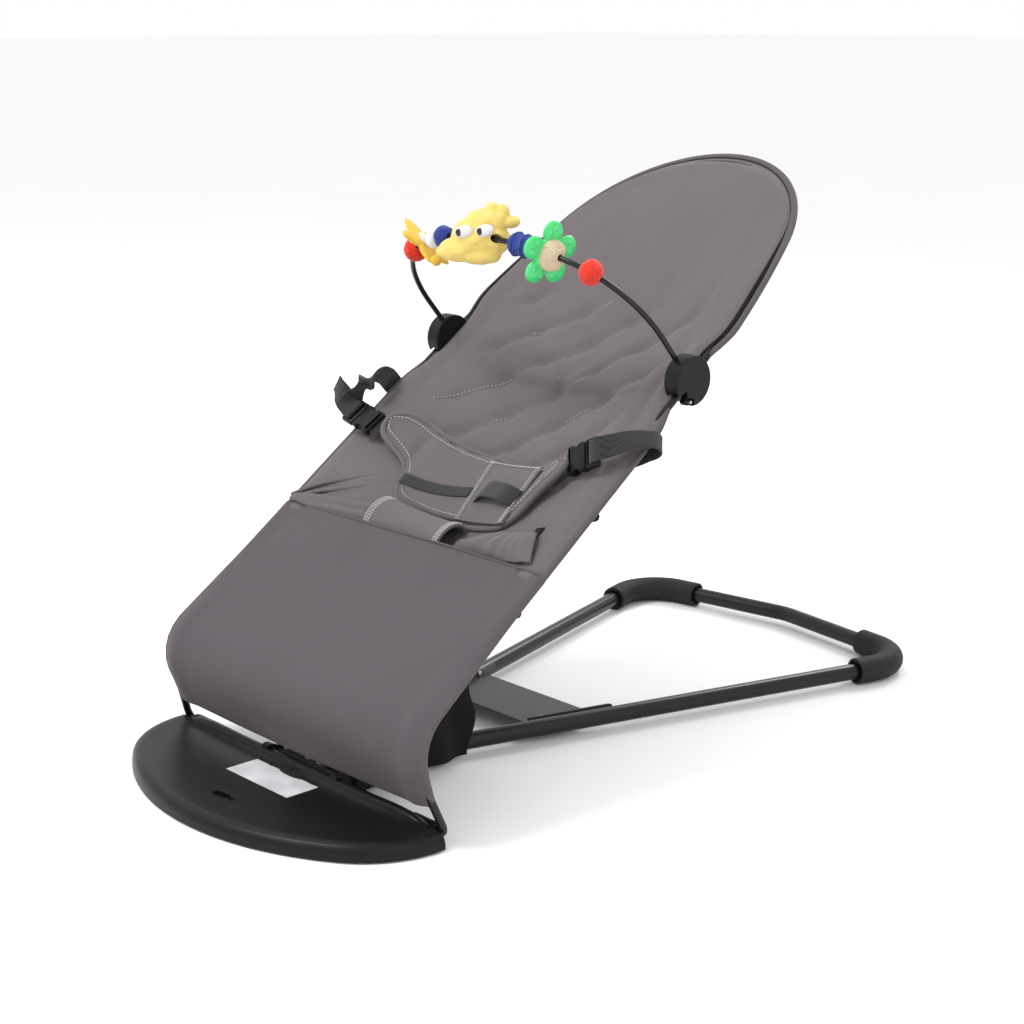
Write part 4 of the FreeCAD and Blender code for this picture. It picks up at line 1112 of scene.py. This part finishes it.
def make_crotch_piece():
    """Lap flap that comes up out of the thigh seam: a rolled middle with a light stitched band at
    each end, a fold that tapers to the left corner, and an open pouch on the right."""
    low_x, high_x = -0.062, 0.040

    def place(s, t, lift=0.0):
        x = low_x + (high_x - low_x) * (s + 1) / 2
        turn = math.radians(215) * (t + 1) / 2 + math.radians(-18)
        lean = (x - low_x) * 0.05
        middle = seat(x, 0.0195 - lean, cover_top(x, 0.02) + 0.008)
        return middle + UP * ((0.0195 + lift) * math.cos(turn)) + OUT * ((0.0135 + lift) * math.sin(turn))

    roll = grid("crotch_roll_cloth", 30, 26, place)
    add_modifier(roll, "SOLIDIFY", thickness=0.0035, offset=-1)
    apply_modifiers(roll)
    face_out(roll)
    subdivide(roll)
    soften(roll, 60)
    dress(roll, BIB_CLOTH)
    rows = []
    for s in (-0.965, -0.915, -0.865, 0.865, 0.915, 0.965):
        rows.append([place(s, 0.93 - 1.55 * step / 14, 0.0036) for step in range(15)])
    bands = dress(stitching("crotch_stitch", rows, 0.0024, 0.0004, 0.00075), THREAD)

    def pouch_place(s, t):
        low = Vector((0.036 + 0.122 * (s + 1) / 2, 0.003 + 0.006 * (s + 1) / 2))
        top = Vector((0.036 + 0.104 * (s + 1) / 2, 0.026 + 0.014 * ((s + 1) / 2) ** 2))
        spot = low.lerp(top, (t + 1) / 2)
        mouth = 0.010 * bump(s - 0.1, 0.75) * (t + 1) / 2
        puff = 0.008 * (1 - s ** 4) * (1 - t * t)
        ray = math.atan2(spot.y - 0.044, spot.x - 0.128)
        wrinkle = 0.0011 * math.sin(ray * 16) * (1 - s * s) * smooth(spot.x, 0.05, 0.09)
        return seat(spot.x, spot.y, cover_top(spot.x, spot.y) + 0.0025 + mouth + puff + wrinkle)

    pouch = grid("crotch_pouch", 48, 24, pouch_place)
    add_modifier(pouch, "SOLIDIFY", thickness=0.0030, offset=0)
    apply_modifiers(pouch)
    face_out(pouch)
    inflate(pouch, lambda point: 0.0, 2.0, 0.0015, 10)
    subdivide(pouch)
    soften(pouch, 60)
    dress(pouch, BIB_CLOTH)

    def fold_place(s, t):
        x = -0.168 + 0.112 * (s + 1) / 2
        top = 0.006 + 0.034 * ((s + 1) / 2) ** 0.8
        u = 0.003 + (top - 0.003) * (t + 1) / 2
        puff = 0.011 * ((s + 1) / 2) ** 0.7 * (1 - t * t) ** 0.7
        crease = 0.0022 * bump(u - 0.004 - 0.020 * (s + 1) / 2, 0.0035) * smooth(s, -1, -0.3)
        return seat(x, u, cover_top(x, u) + 0.0015 + puff - crease)

    fold = grid("crotch_fold", 40, 24, fold_place)
    add_modifier(fold, "SOLIDIFY", thickness=0.0030, offset=0)
    apply_modifiers(fold)
    face_out(fold)
    subdivide(fold)
    soften(fold, 60)
    dress(fold, BIB_CLOTH)
    piped = []
    for number, route in enumerate((((-170, 8), (-152, 26), (-128, 46), (-104, 64), (-84, 76)),
                                    ((-166, 6), (-146, 20), (-120, 38), (-98, 54), (-82, 64)))):
        seam = [seat(x * MM, u * MM, cover_top(x * MM, u * MM) + 0.0012) for x, u in route]
        piped.append(dress(piping("pocket_piping_" + str(number), seam, 0.0021), BIB_CLOTH))

    def opening_place(s, t):
        x = 0.042 + 0.096 * (s + 1) / 2
        u = 0.028 + 0.016 * (t + 1) / 2 + 0.006 * s
        return seat(x, u, cover_top(x, u) + 0.0012)

    # The near-black sheet in the pouch's mouth is painted shade for the pouch's dark inside.
    opening = grid("pouch_mouth_painted_shade", 20, 6, opening_place)
    add_modifier(opening, "SOLIDIFY", thickness=0.0010, offset=0)
    apply_modifiers(opening)
    dress(soften(face_out(opening)), CURTAIN_CLOTH_AND_SHADE)
    for piece in (roll, bands, pouch, fold, opening, *piped):
        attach(piece, "seat")
    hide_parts("crotch_roll")


def buckle_axes(side):
    """A matrix at the buckle plug's outer end: X points out along the strap, Z out of the seat."""
    word = "right" if side > 0 else "left"
    along = -Vector(JOINTS["buckle_" + word + "_release"]["axis"]).normalized()
    if side > 0:
        origin, tilt = seat(0.1505, 0.127, 0.022), math.radians(31)
    else:
        origin, tilt = seat(-0.172, 0.111, 0.020), 0.0
    level = along.cross(OUT).normalized()
    wide = level * math.cos(tilt) + level.cross(along) * math.sin(tilt)
    turned = Matrix((-along, wide, wide.cross(along))).transposed().to_4x4()
    return Matrix.Translation(origin) @ turned


def make_buckle(side):
    """Side-release buckle: plug with ladder bars and prongs, socket with cut-outs."""
    word = "right" if side > 0 else "left"
    matrix = buckle_axes(side)
    body = rounded_box("plug_body", (0.0153, 0.0270, 0.0062), 0.0020)
    put(body, Matrix.Translation((-0.00765, 0, 0)))
    for x in (-0.0044, -0.0106):
        window = rounded_box("window", (0.0036, 0.0218, 0.02), 0.0010)
        put(window, Matrix.Translation((x, 0, 0)))
        cut(body, window)
    bar = rounded_box("ladder_bar", (0.0030, 0.0252, 0.0044), 0.0012)
    put(bar, Matrix.Translation((-0.0075, 0, 0.0017)))
    parts = [bar, body]
    for edge in (-1, 1):
        arm = rounded_box("arm", (0.0150, 0.0028, 0.0032), 0.0008)
        put(arm, Matrix.Translation((-0.0220, edge * 0.0078, 0)))
        tip = rounded_box("tip", (0.0074, 0.0050, 0.0032), 0.0015)
        put(tip, Matrix.Translation((-0.0262, edge * 0.0092, 0)))
        parts += [arm, tip]
    guide = rounded_box("guide", (0.016, 0.0042, 0.0028), 0.0008)
    put(guide, Matrix.Translation((-0.0220, 0, 0)))
    plug = soften(join("plug_" + word + "_body", guide, *parts))
    dress(put(plug, matrix), PLASTIC)
    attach(plug, "plug_" + word)
    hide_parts("buckle_plug_" + word)

    shell = rounded_box("shell", (0.0230, 0.0270, 0.0088), 0.0027, 4)
    put(shell, Matrix.Translation((-0.0275, 0, 0)))
    cavity = rounded_box("cavity", (0.0190, 0.0226, 0.0046), 0.0007)
    put(cavity, Matrix.Translation((-0.0235, 0, 0)))
    cut(shell, cavity)
    for edge in (-1, 1):
        mouth = disc("mouth", 0.0064, 0.03, 0.0001, 32)
        put(mouth, Matrix.Rotation(math.radians(90), 4, "Y"))
        put(mouth, Matrix.Translation((-0.0268, edge * 0.0164, 0)))
        cut(shell, mouth)
    slit = rounded_box("slit", (0.0032, 0.0215, 0.02), 0.0008)
    put(slit, Matrix.Translation((-0.0358, 0, 0)))
    cut(shell, slit)
    socket = soften(shell)
    socket.name = "socket_" + word + "_body"
    dress(put(socket, matrix), PLASTIC)
    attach(socket, "seat")
    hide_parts("buckle_socket_" + word)
    return matrix


def make_straps():
    """Webbing: round the wire loop to each plug, and from each socket under the bib."""
    wide = 0.0205
    for side, word in ((1, "right"), (-1, "left")):
        matrix = make_buckle(side)
        buckle_wide = matrix.to_3x3() @ Vector((0, 1, 0))

        def from_buckle(x, z, y=0.0):
            return matrix @ Vector((x, y, z))

        if side > 0:
            edge_wide = (UP * 0.80 - X * 0.60).normalized()
            points = [from_buckle(-0.0085, 0.0036), from_buckle(0.0006, 0.0042), seat(0.158, 0.136,
                                                                                      0.0215),
                      seat(0.168, 0.148, 0.0175), seat(0.1765, 0.158, 0.0110), seat(0.1808, 0.164,
                                                                                    0.0035),
                      seat(0.1795, 0.165, -0.0050), seat(0.168, 0.157, -0.0085), seat(0.152, 0.146,
                                                                                      -0.0105)]
            turns = (0, 0, 0.25, 0.6, 0.9, 1, 1, 1, 1)
        else:
            edge_wide = (UP * 0.93 + X * 0.36).normalized()
            points = [from_buckle(-0.0085, 0.0036), from_buckle(0.0002, 0.0048), seat(-0.172, 0.122,
                                                                                      0.0280),
                      seat(-0.166, 0.137, 0.0330), seat(-0.165, 0.150, 0.0310), seat(-0.170, 0.160,
                                                                                     0.0200),
                      seat(-0.1775, 0.166, 0.0070), seat(-0.1803, 0.168, -0.0010), seat(-0.175,
                                                                                        0.167,
                                                                                        -0.0075),
                      seat(-0.158, 0.163, -0.0100)]
            turns = (0, 0.1, 0.4, 0.7, 0.9, 1, 1, 1, 1, 1)
        if buckle_wide.dot(edge_wide) < 0:
            edge_wide = -edge_wide
        path = spline(points, 56)
        across = []
        for number in range(len(path)):
            along = number / (len(path) - 1) * (len(turns) - 1)
            index = min(int(along), len(turns) - 2)
            share = turns[index] + (turns[index + 1] - turns[index]) * (along - index)
            across.append(buckle_wide.lerp(edge_wide, share).normalized())
        strap = ribbon("waist_strap_" + word + "_web", path, square_to(path, across), wide, 0.0014)
        dress(strap, WEBBING)
        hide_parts("waist_strap_" + word)
        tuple(points[4])
        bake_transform(strap)

        tail_points = [from_buckle(-0.0370, 0.0), from_buckle(-0.0415, -0.0012),
                       from_buckle(-0.0490, -0.0035)]
        tail = ribbon("bib_tab_" + word + "_web", spline(tail_points, 10), [buckle_wide] * 10, wide,
                      0.0014)
        dress(tail, WEBBING)
        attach(tail, "seat")
        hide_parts("bib_tab_" + word)
        if side < 0:
            loose = [from_buckle(-0.0085, 0.0048), from_buckle(0.0010, 0.0056),
                     from_buckle(0.012, 0.0085, -0.004),
                     from_buckle(0.028, 0.013, -0.011)]
            line = spline(loose, 16)
            twist = (UP * -0.47 - X * 0.48 - OUT * 0.74).normalized()
            if twist.dot(buckle_wide) < 0:
                twist = -twist
            turned = [buckle_wide.lerp(twist, smooth(n / 15, 0.3,
                                                     1.0)).normalized() for n in range(16)]
            end = ribbon("loose_tail_left", line, square_to(line, turned), wide, 0.0014)
            dress(end, WEBBING)
            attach(end, "plug_left")


# ---- curtains over the support bow ------------------------------------------------

def make_curtains():
    """Black cloth that hangs from under the seat round the base tubes."""
    for side, word in ((-1, "left"), (1, "right")):

        def place(s, t):
            back = 0.016 + 0.131 * (s + 1) / 2
            low = 0.0045
            high = 0.055 + (back - 0.016) * 0.86
            wave = 0.0028 * math.sin(s * 9 + t * 3) * (0.4 + 0.6 * (s + 1) / 2)
            rear = 0.004 * math.sin(t * 8) * smooth(s, 0.4, 1.0)
            return Vector((side * (0.0545 + wave), RIDGE_Y + back + rear,
                           low + (high - low) * (t + 1) / 2))

        curtain = grid("curtain_" + word, 40, 36, place)
        add_modifier(curtain, "SOLIDIFY", thickness=0.0012, offset=0)
        apply_modifiers(curtain)
        soften(face_out(curtain), 60)
        dress(curtain, CURTAIN_CLOTH_AND_SHADE)
        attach(curtain, "base_frame")
        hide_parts("skirt_" + word)
        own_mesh(curtain)


# ---- toys -------------------------------------------------------------------------

def on_bar(name):
    """A matrix at a toy's place, with X along the bar and Z as upright as the bar lets it be."""
    joint = JOINTS[name + "_spin"]
    along = Vector(joint["axis"]).normalized()
    upright = (Z - along * Z.dot(along)).normalized()
    wide = upright.cross(along)
    turned = Matrix((along, wide, upright)).transposed().to_4x4()
    return Matrix.Translation(joint["pos_m"]) @ turned


def add_toy(piece, body, node, material, slot_name):
    dress(piece, material)
    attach(piece, body)
    if node:
        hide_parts(node)
    return piece


def lumpy(piece, amount, size, seed):
    """Uneven stuffing: points moved along their direction from the middle."""
    middle = sum((vertex.co for vertex in piece.data.vertices), Vector()) / len(piece.data.vertices)
    shift = Vector((seed * 3.1, seed * 1.7, seed * 0.9))
    for vertex in piece.data.vertices:
        away = (vertex.co - middle).normalized()
        vertex.co += away * (amount * noise.noise(vertex.co / size + shift))
    return piece


def bored(piece, radius=0.0030):
    hole = disc("bore", radius, 0.2, 0.0001, 32)
    return cut(piece, hole)


def make_beads():
    beads = (("red_bead_right", 0.0116, (0.92, 1, 1), RED, "red_terry"),
             ("blue_bead_left", 0.0106, (0.88, 1, 1), BLUE, "blue_terry"),
             ("white_bead", 0.0086, (0.80, 1, 1), WHITE, "white_plastic"),
             ("red_bead_left", 0.0116, (0.86, 1, 1), RED, "red_terry"))
    for number, (name, radius, stretch, material, slot_name) in enumerate(beads):
        bead = ball(name + "_ball", radius, stretch, 5)
        if material is not WHITE:
            lumpy(bead, 0.0007, 0.006, number + 1)
        bored(bead)
        soften(bead, 60)
        put(bead, on_bar(name))
        add_toy(bead, name, "toy_" + name, material, slot_name)
    ribs = []
    for number, x in enumerate((-0.0080, -0.0050, -0.0018, 0.0022, 0.0054, 0.0084)):
        size = (0.0096, 0.0112, 0.0098, 0.0100, 0.0110, 0.0094)[number]
        rib = ball("rib", size, (0.30, 1, 1), 4)
        put(rib, Matrix.Translation((x, 0, 0)))
        ribs.append(lumpy(rib, 0.0005, 0.005, number + 7))
    core = disc("core", 0.0090, 0.021, 0.002, 48)
    twin = join("blue_beads_ribbed", *ribs, core)
    add_modifier(twin, "REMESH", mode="VOXEL", voxel_size=0.0006)
    apply_modifiers(twin)
    add_modifier(twin, "SMOOTH", factor=0.5, iterations=3)
    apply_modifiers(twin)
    bored(twin)
    soften(twin, 60)
    put(twin, on_bar("blue_beads"))
    add_toy(twin, "blue_beads", "toy_blue_beads", BLUE, "blue_terry")


def make_flower():
    """Teether with five bumpy petals round a knitted centre."""
    petals = []
    for number in range(5):
        angle = math.radians(90 + 72 * number)
        petal = ball("petal", 0.0104, (0.42, 1, 1), 4)
        put(petal, Matrix.Translation((0, 0.0192 * math.cos(angle), 0.0192 * math.sin(angle))))
        petals.append(petal)
        for spread, reach in ((-0.24, 0.0205), (0.0, 0.0235), (0.24, 0.0205)):
            for face in (-0.0038, 0.0038):
                knob = ball("knob", 0.0017, (1, 1, 1), 2)
                put(knob, Matrix.Translation((face, reach * math.cos(angle + spread),
                                              reach * math.sin(angle + spread))))
                petals.append(knob)
    ring = disc("ring", 0.0150, 0.0082, 0.003)
    flower = join("flower_teether", *petals, ring)
    add_modifier(flower, "REMESH", mode="VOXEL", voxel_size=0.0006)
    apply_modifiers(flower)
    add_modifier(flower, "SMOOTH", factor=0.5, iterations=3)
    apply_modifiers(flower)
    bored(flower, 0.0112)
    facing = Matrix.Rotation(math.radians(-16), 4, "Z")
    put(flower, facing)
    soften(flower, 60)
    put(flower, on_bar("flower"))
    add_toy(flower, "flower", "toy_flower_ring", GREEN, "green_rubber")
    centre = ball("flower_knit", 0.0136, (0.72, 0.98, 1.05), 5)
    lumpy(centre, 0.0022, 0.010, 4)
    put(centre, facing @ Matrix.Translation((0.0030, 0, 0)))
    bored(centre)
    soften(centre, 60)
    put(centre, on_bar("flower"))
    add_toy(centre, "flower", "toy_flower_centre", BEIGE, "beige_knit")


def make_plush():
    """Generic stuffed chick: a plump head with a blunt beak, a tuft and plain oval eyes."""
    head = []
    for place, radius, stretch in (
            ((0.000, 0.000, -0.001), 0.0205, (1.18, 0.90, 1.00)),
            ((-0.015, -0.003, -0.011), 0.0145, (1.45, 0.95, 0.78)),
            ((-0.026, -0.004, -0.0130), 0.0088, (1.40, 1.0, 0.72)),
            ((0.008, 0.000, 0.0110), 0.0165, (1.25, 0.85, 0.85)),
            ((0.017, -0.001, -0.002), 0.0140, (1.0, 0.95, 1.0)),
            ((0.003, -0.003, -0.0150), 0.0135, (1.5, 0.95, 0.70)),
            ((0.025, 0.000, 0.0205), 0.0072, (0.85, 0.70, 1.30)),
            ((0.032, 0.000, 0.0135), 0.0066, (1.25, 0.70, 0.85)),
            ((0.015, 0.000, 0.0235), 0.0072, (1.00, 0.70, 1.00)),
            ((0.004, -0.0165, -0.0015), 0.0052, (1.0, 0.7, 0.8))):
        lobe = ball("lobe", radius, stretch, 4)
        put(lobe, Matrix.Translation(place))
        head.append(lobe)
    plush = join("plush_chick", *head)
    add_modifier(plush, "REMESH", mode="VOXEL", voxel_size=0.0010)
    apply_modifiers(plush)
    add_modifier(plush, "SMOOTH", factor=0.5, iterations=5)
    apply_modifiers(plush)
    lumpy(plush, 0.0012, 0.009, 5)
    facing = Matrix.Rotation(math.radians(28), 4, "Z")
    put(plush, facing)
    bored(plush, 0.0040)
    soften(plush, 70)
    matrix = on_bar("plush_head")
    put(plush, matrix)
    add_toy(plush, "plush_head", "toy_plush_head", YELLOW, "yellow_plush")
    for number, (x, y, z) in enumerate(((-0.0065, -0.0172, 0.0060), (0.0130, -0.0158, 0.0070))):
        spot = matrix @ facing
        patch = ball("eye_patch_" + str(number), 0.0088, (1.0, 0.36, 0.62), 4)
        put(patch, spot @ Matrix.Translation((x, y, z)) @ Matrix.Rotation(math.radians(-12), 4,
                                                                          "Y"))
        add_toy(patch, "plush_head", None, FELT_WHITE, "yellow_plush")
        pupil = ball("eye_button_" + str(number), 0.0029, (0.95, 0.5, 1.15), 3)
        put(pupil, spot @ Matrix.Translation((x - 0.0038, y - 0.0024, z - 0.0006)))
        add_toy(pupil, "plush_head", None, EYE, "yellow_plush")


def make_star():
    """Flat soft star with a felt face patch and a small hanging pompom."""
    arms = []
    for number in range(5):
        angle = math.radians(90 + 72 * number)
        arm = ball("arm", 0.0100, (0.34, 1.0, 1.0), 4)
        for vertex in arm.data.vertices:
            radial = vertex.co.z
            vertex.co.z = radial * 1.55
            vertex.co.y *= 1 - 0.25 * smooth(radial, 0, 0.01)
        put(arm, Matrix.Translation((0, 0, 0.0150)))
        put(arm, Matrix.Rotation(angle - math.radians(90), 4, "X"))
        arms.append(arm)
    middle = ball("middle", 0.0165, (0.25, 1, 1), 4)
    star = join("star_cloth", *arms, middle)
    add_modifier(star, "REMESH", mode="VOXEL", voxel_size=0.0008)
    apply_modifiers(star)
    add_modifier(star, "SMOOTH", factor=0.5, iterations=5)
    apply_modifiers(star)
    tilt = Matrix.Rotation(math.radians(36), 4, "Z") @ Matrix.Rotation(math.radians(-32), 4, "Y")
    face = ball("star_face", 0.0098, (0.22, 1, 1), 4)
    put(face, Matrix.Translation((0.0036, 0, 0)))
    pompom = ball("star_pompom", 0.0052, (1, 1, 1), 4)
    lumpy(pompom, 0.0006, 0.003, 3)
    put(pompom, Matrix.Translation((0.004, -0.014, -0.026)))
    matrix = on_bar("star")
    for piece, material in ((star, DEEP_YELLOW), (face, FELT_WHITE), (pompom, DEEP_YELLOW)):
        put(piece, tilt)
        if piece is not pompom:
            bored(piece)
        soften(piece, 60)
        put(piece, matrix)
        add_toy(piece, "star", "toy_star" if piece is star else None, material, "yellow_plush")


# ---- hardware that keeps its CAD shape ---------------------------------------------

def finish_hardware():
    finishes = {
        "base_tube": PAINT, "seat_loop": PAINT, "support_bow": PAINT, "crossbars": PAINT,
        "toy_bar": PAINT,
        "cross_plate": STRIP_PAINT, "corner_sleeve": RUBBER, "foot_pads": RUBBER,
        "label_plate": LABEL,
        "hinge_bracket": BRACKET_GREY, "ridge_clip": PLASTIC, "bow_lug": PLASTIC,
        "pivot_bush": PLASTIC,
        "crossbar_hooks": PLASTIC, "recline_rack": PLASTIC, "clamp_body": PLASTIC,
        "clamp_jaw": PLASTIC,
        "cross_plate_rivets": ZINC, "bracket_screws": ZINC, "clamp_pin": ZINC,
    }
    for name, node in frame["nodes"].items():
        if node.hide_render:
            continue
        stem = name.removesuffix("_left").removesuffix("_right")
        dress(node, finishes[stem])
        soften(node, 35)


# ---- floor, light and camera -------------------------------------------------------

def make_stage():
    bpy.ops.object.select_all(action="DESELECT")
    bpy.ops.mesh.primitive_plane_add(size=80)
    floor = newest("floor")
    put(floor, Matrix.Translation((0, 0, -0.0004)))
    dress(floor, floor_finish("pale_floor"))
    world = bpy.data.worlds.new("studio")
    world.use_nodes = True
    world.node_tree.nodes["Background"].inputs["Color"].default_value = (1, 1, 1, 1)
    world.node_tree.nodes["Background"].inputs["Strength"].default_value = 1.0
    bpy.context.scene.world = world
    bpy.context.scene.view_settings.view_transform = "Standard"
    lights = (("key", (-0.6, -1.3, 2.3), 0.9, 34), ("fill", (2.0, -0.6, 1.3), 1.4, 6),
              ("rim", (-0.4, 2.0, 1.9), 1.0, 24))
    for name, spot, size, power in lights:
        data = bpy.data.lights.new(name, "AREA")
        data.shape = "DISK"
        data.size = size
        data.energy = power
        lamp = bpy.data.objects.new(name, data)
        bpy.context.scene.collection.objects.link(lamp)
        lamp.location = spot
        lamp.rotation_mode = "QUATERNION"
        lamp.rotation_quaternion = (Vector((0, 0, 0.2)) - Vector(spot)).to_track_quat("-Z", "Y")


def make_camera():
    data = bpy.data.cameras.new("camera")
    data.lens = 68.08
    data.sensor_width = 36
    camera = bpy.data.objects.new("camera", data)
    bpy.context.scene.collection.objects.link(camera)
    azimuth, elevation = math.radians(47.06), math.radians(14.56)
    back = Vector((math.sin(azimuth) * math.cos(elevation),
                   -math.cos(azimuth) * math.cos(elevation),
                   math.sin(elevation)))
    target = Vector((0, RIDGE_Y + 0.2489, 0.2004))
    camera.location = target + back * 1.7985
    camera.rotation_mode = "QUATERNION"
    camera.rotation_quaternion = (-back).to_track_quat("-Z", "Y")
    bpy.context.scene.camera = camera


make_stage()
make_camera()
make_foot_plate()
make_back_cover()
make_leg_cover()
make_edge_binding()
make_thigh_hem()
make_bib()
make_crotch_piece()
make_straps()
make_curtains()
make_beads()
make_flower()
make_plush()
make_star()
finish_hardware()
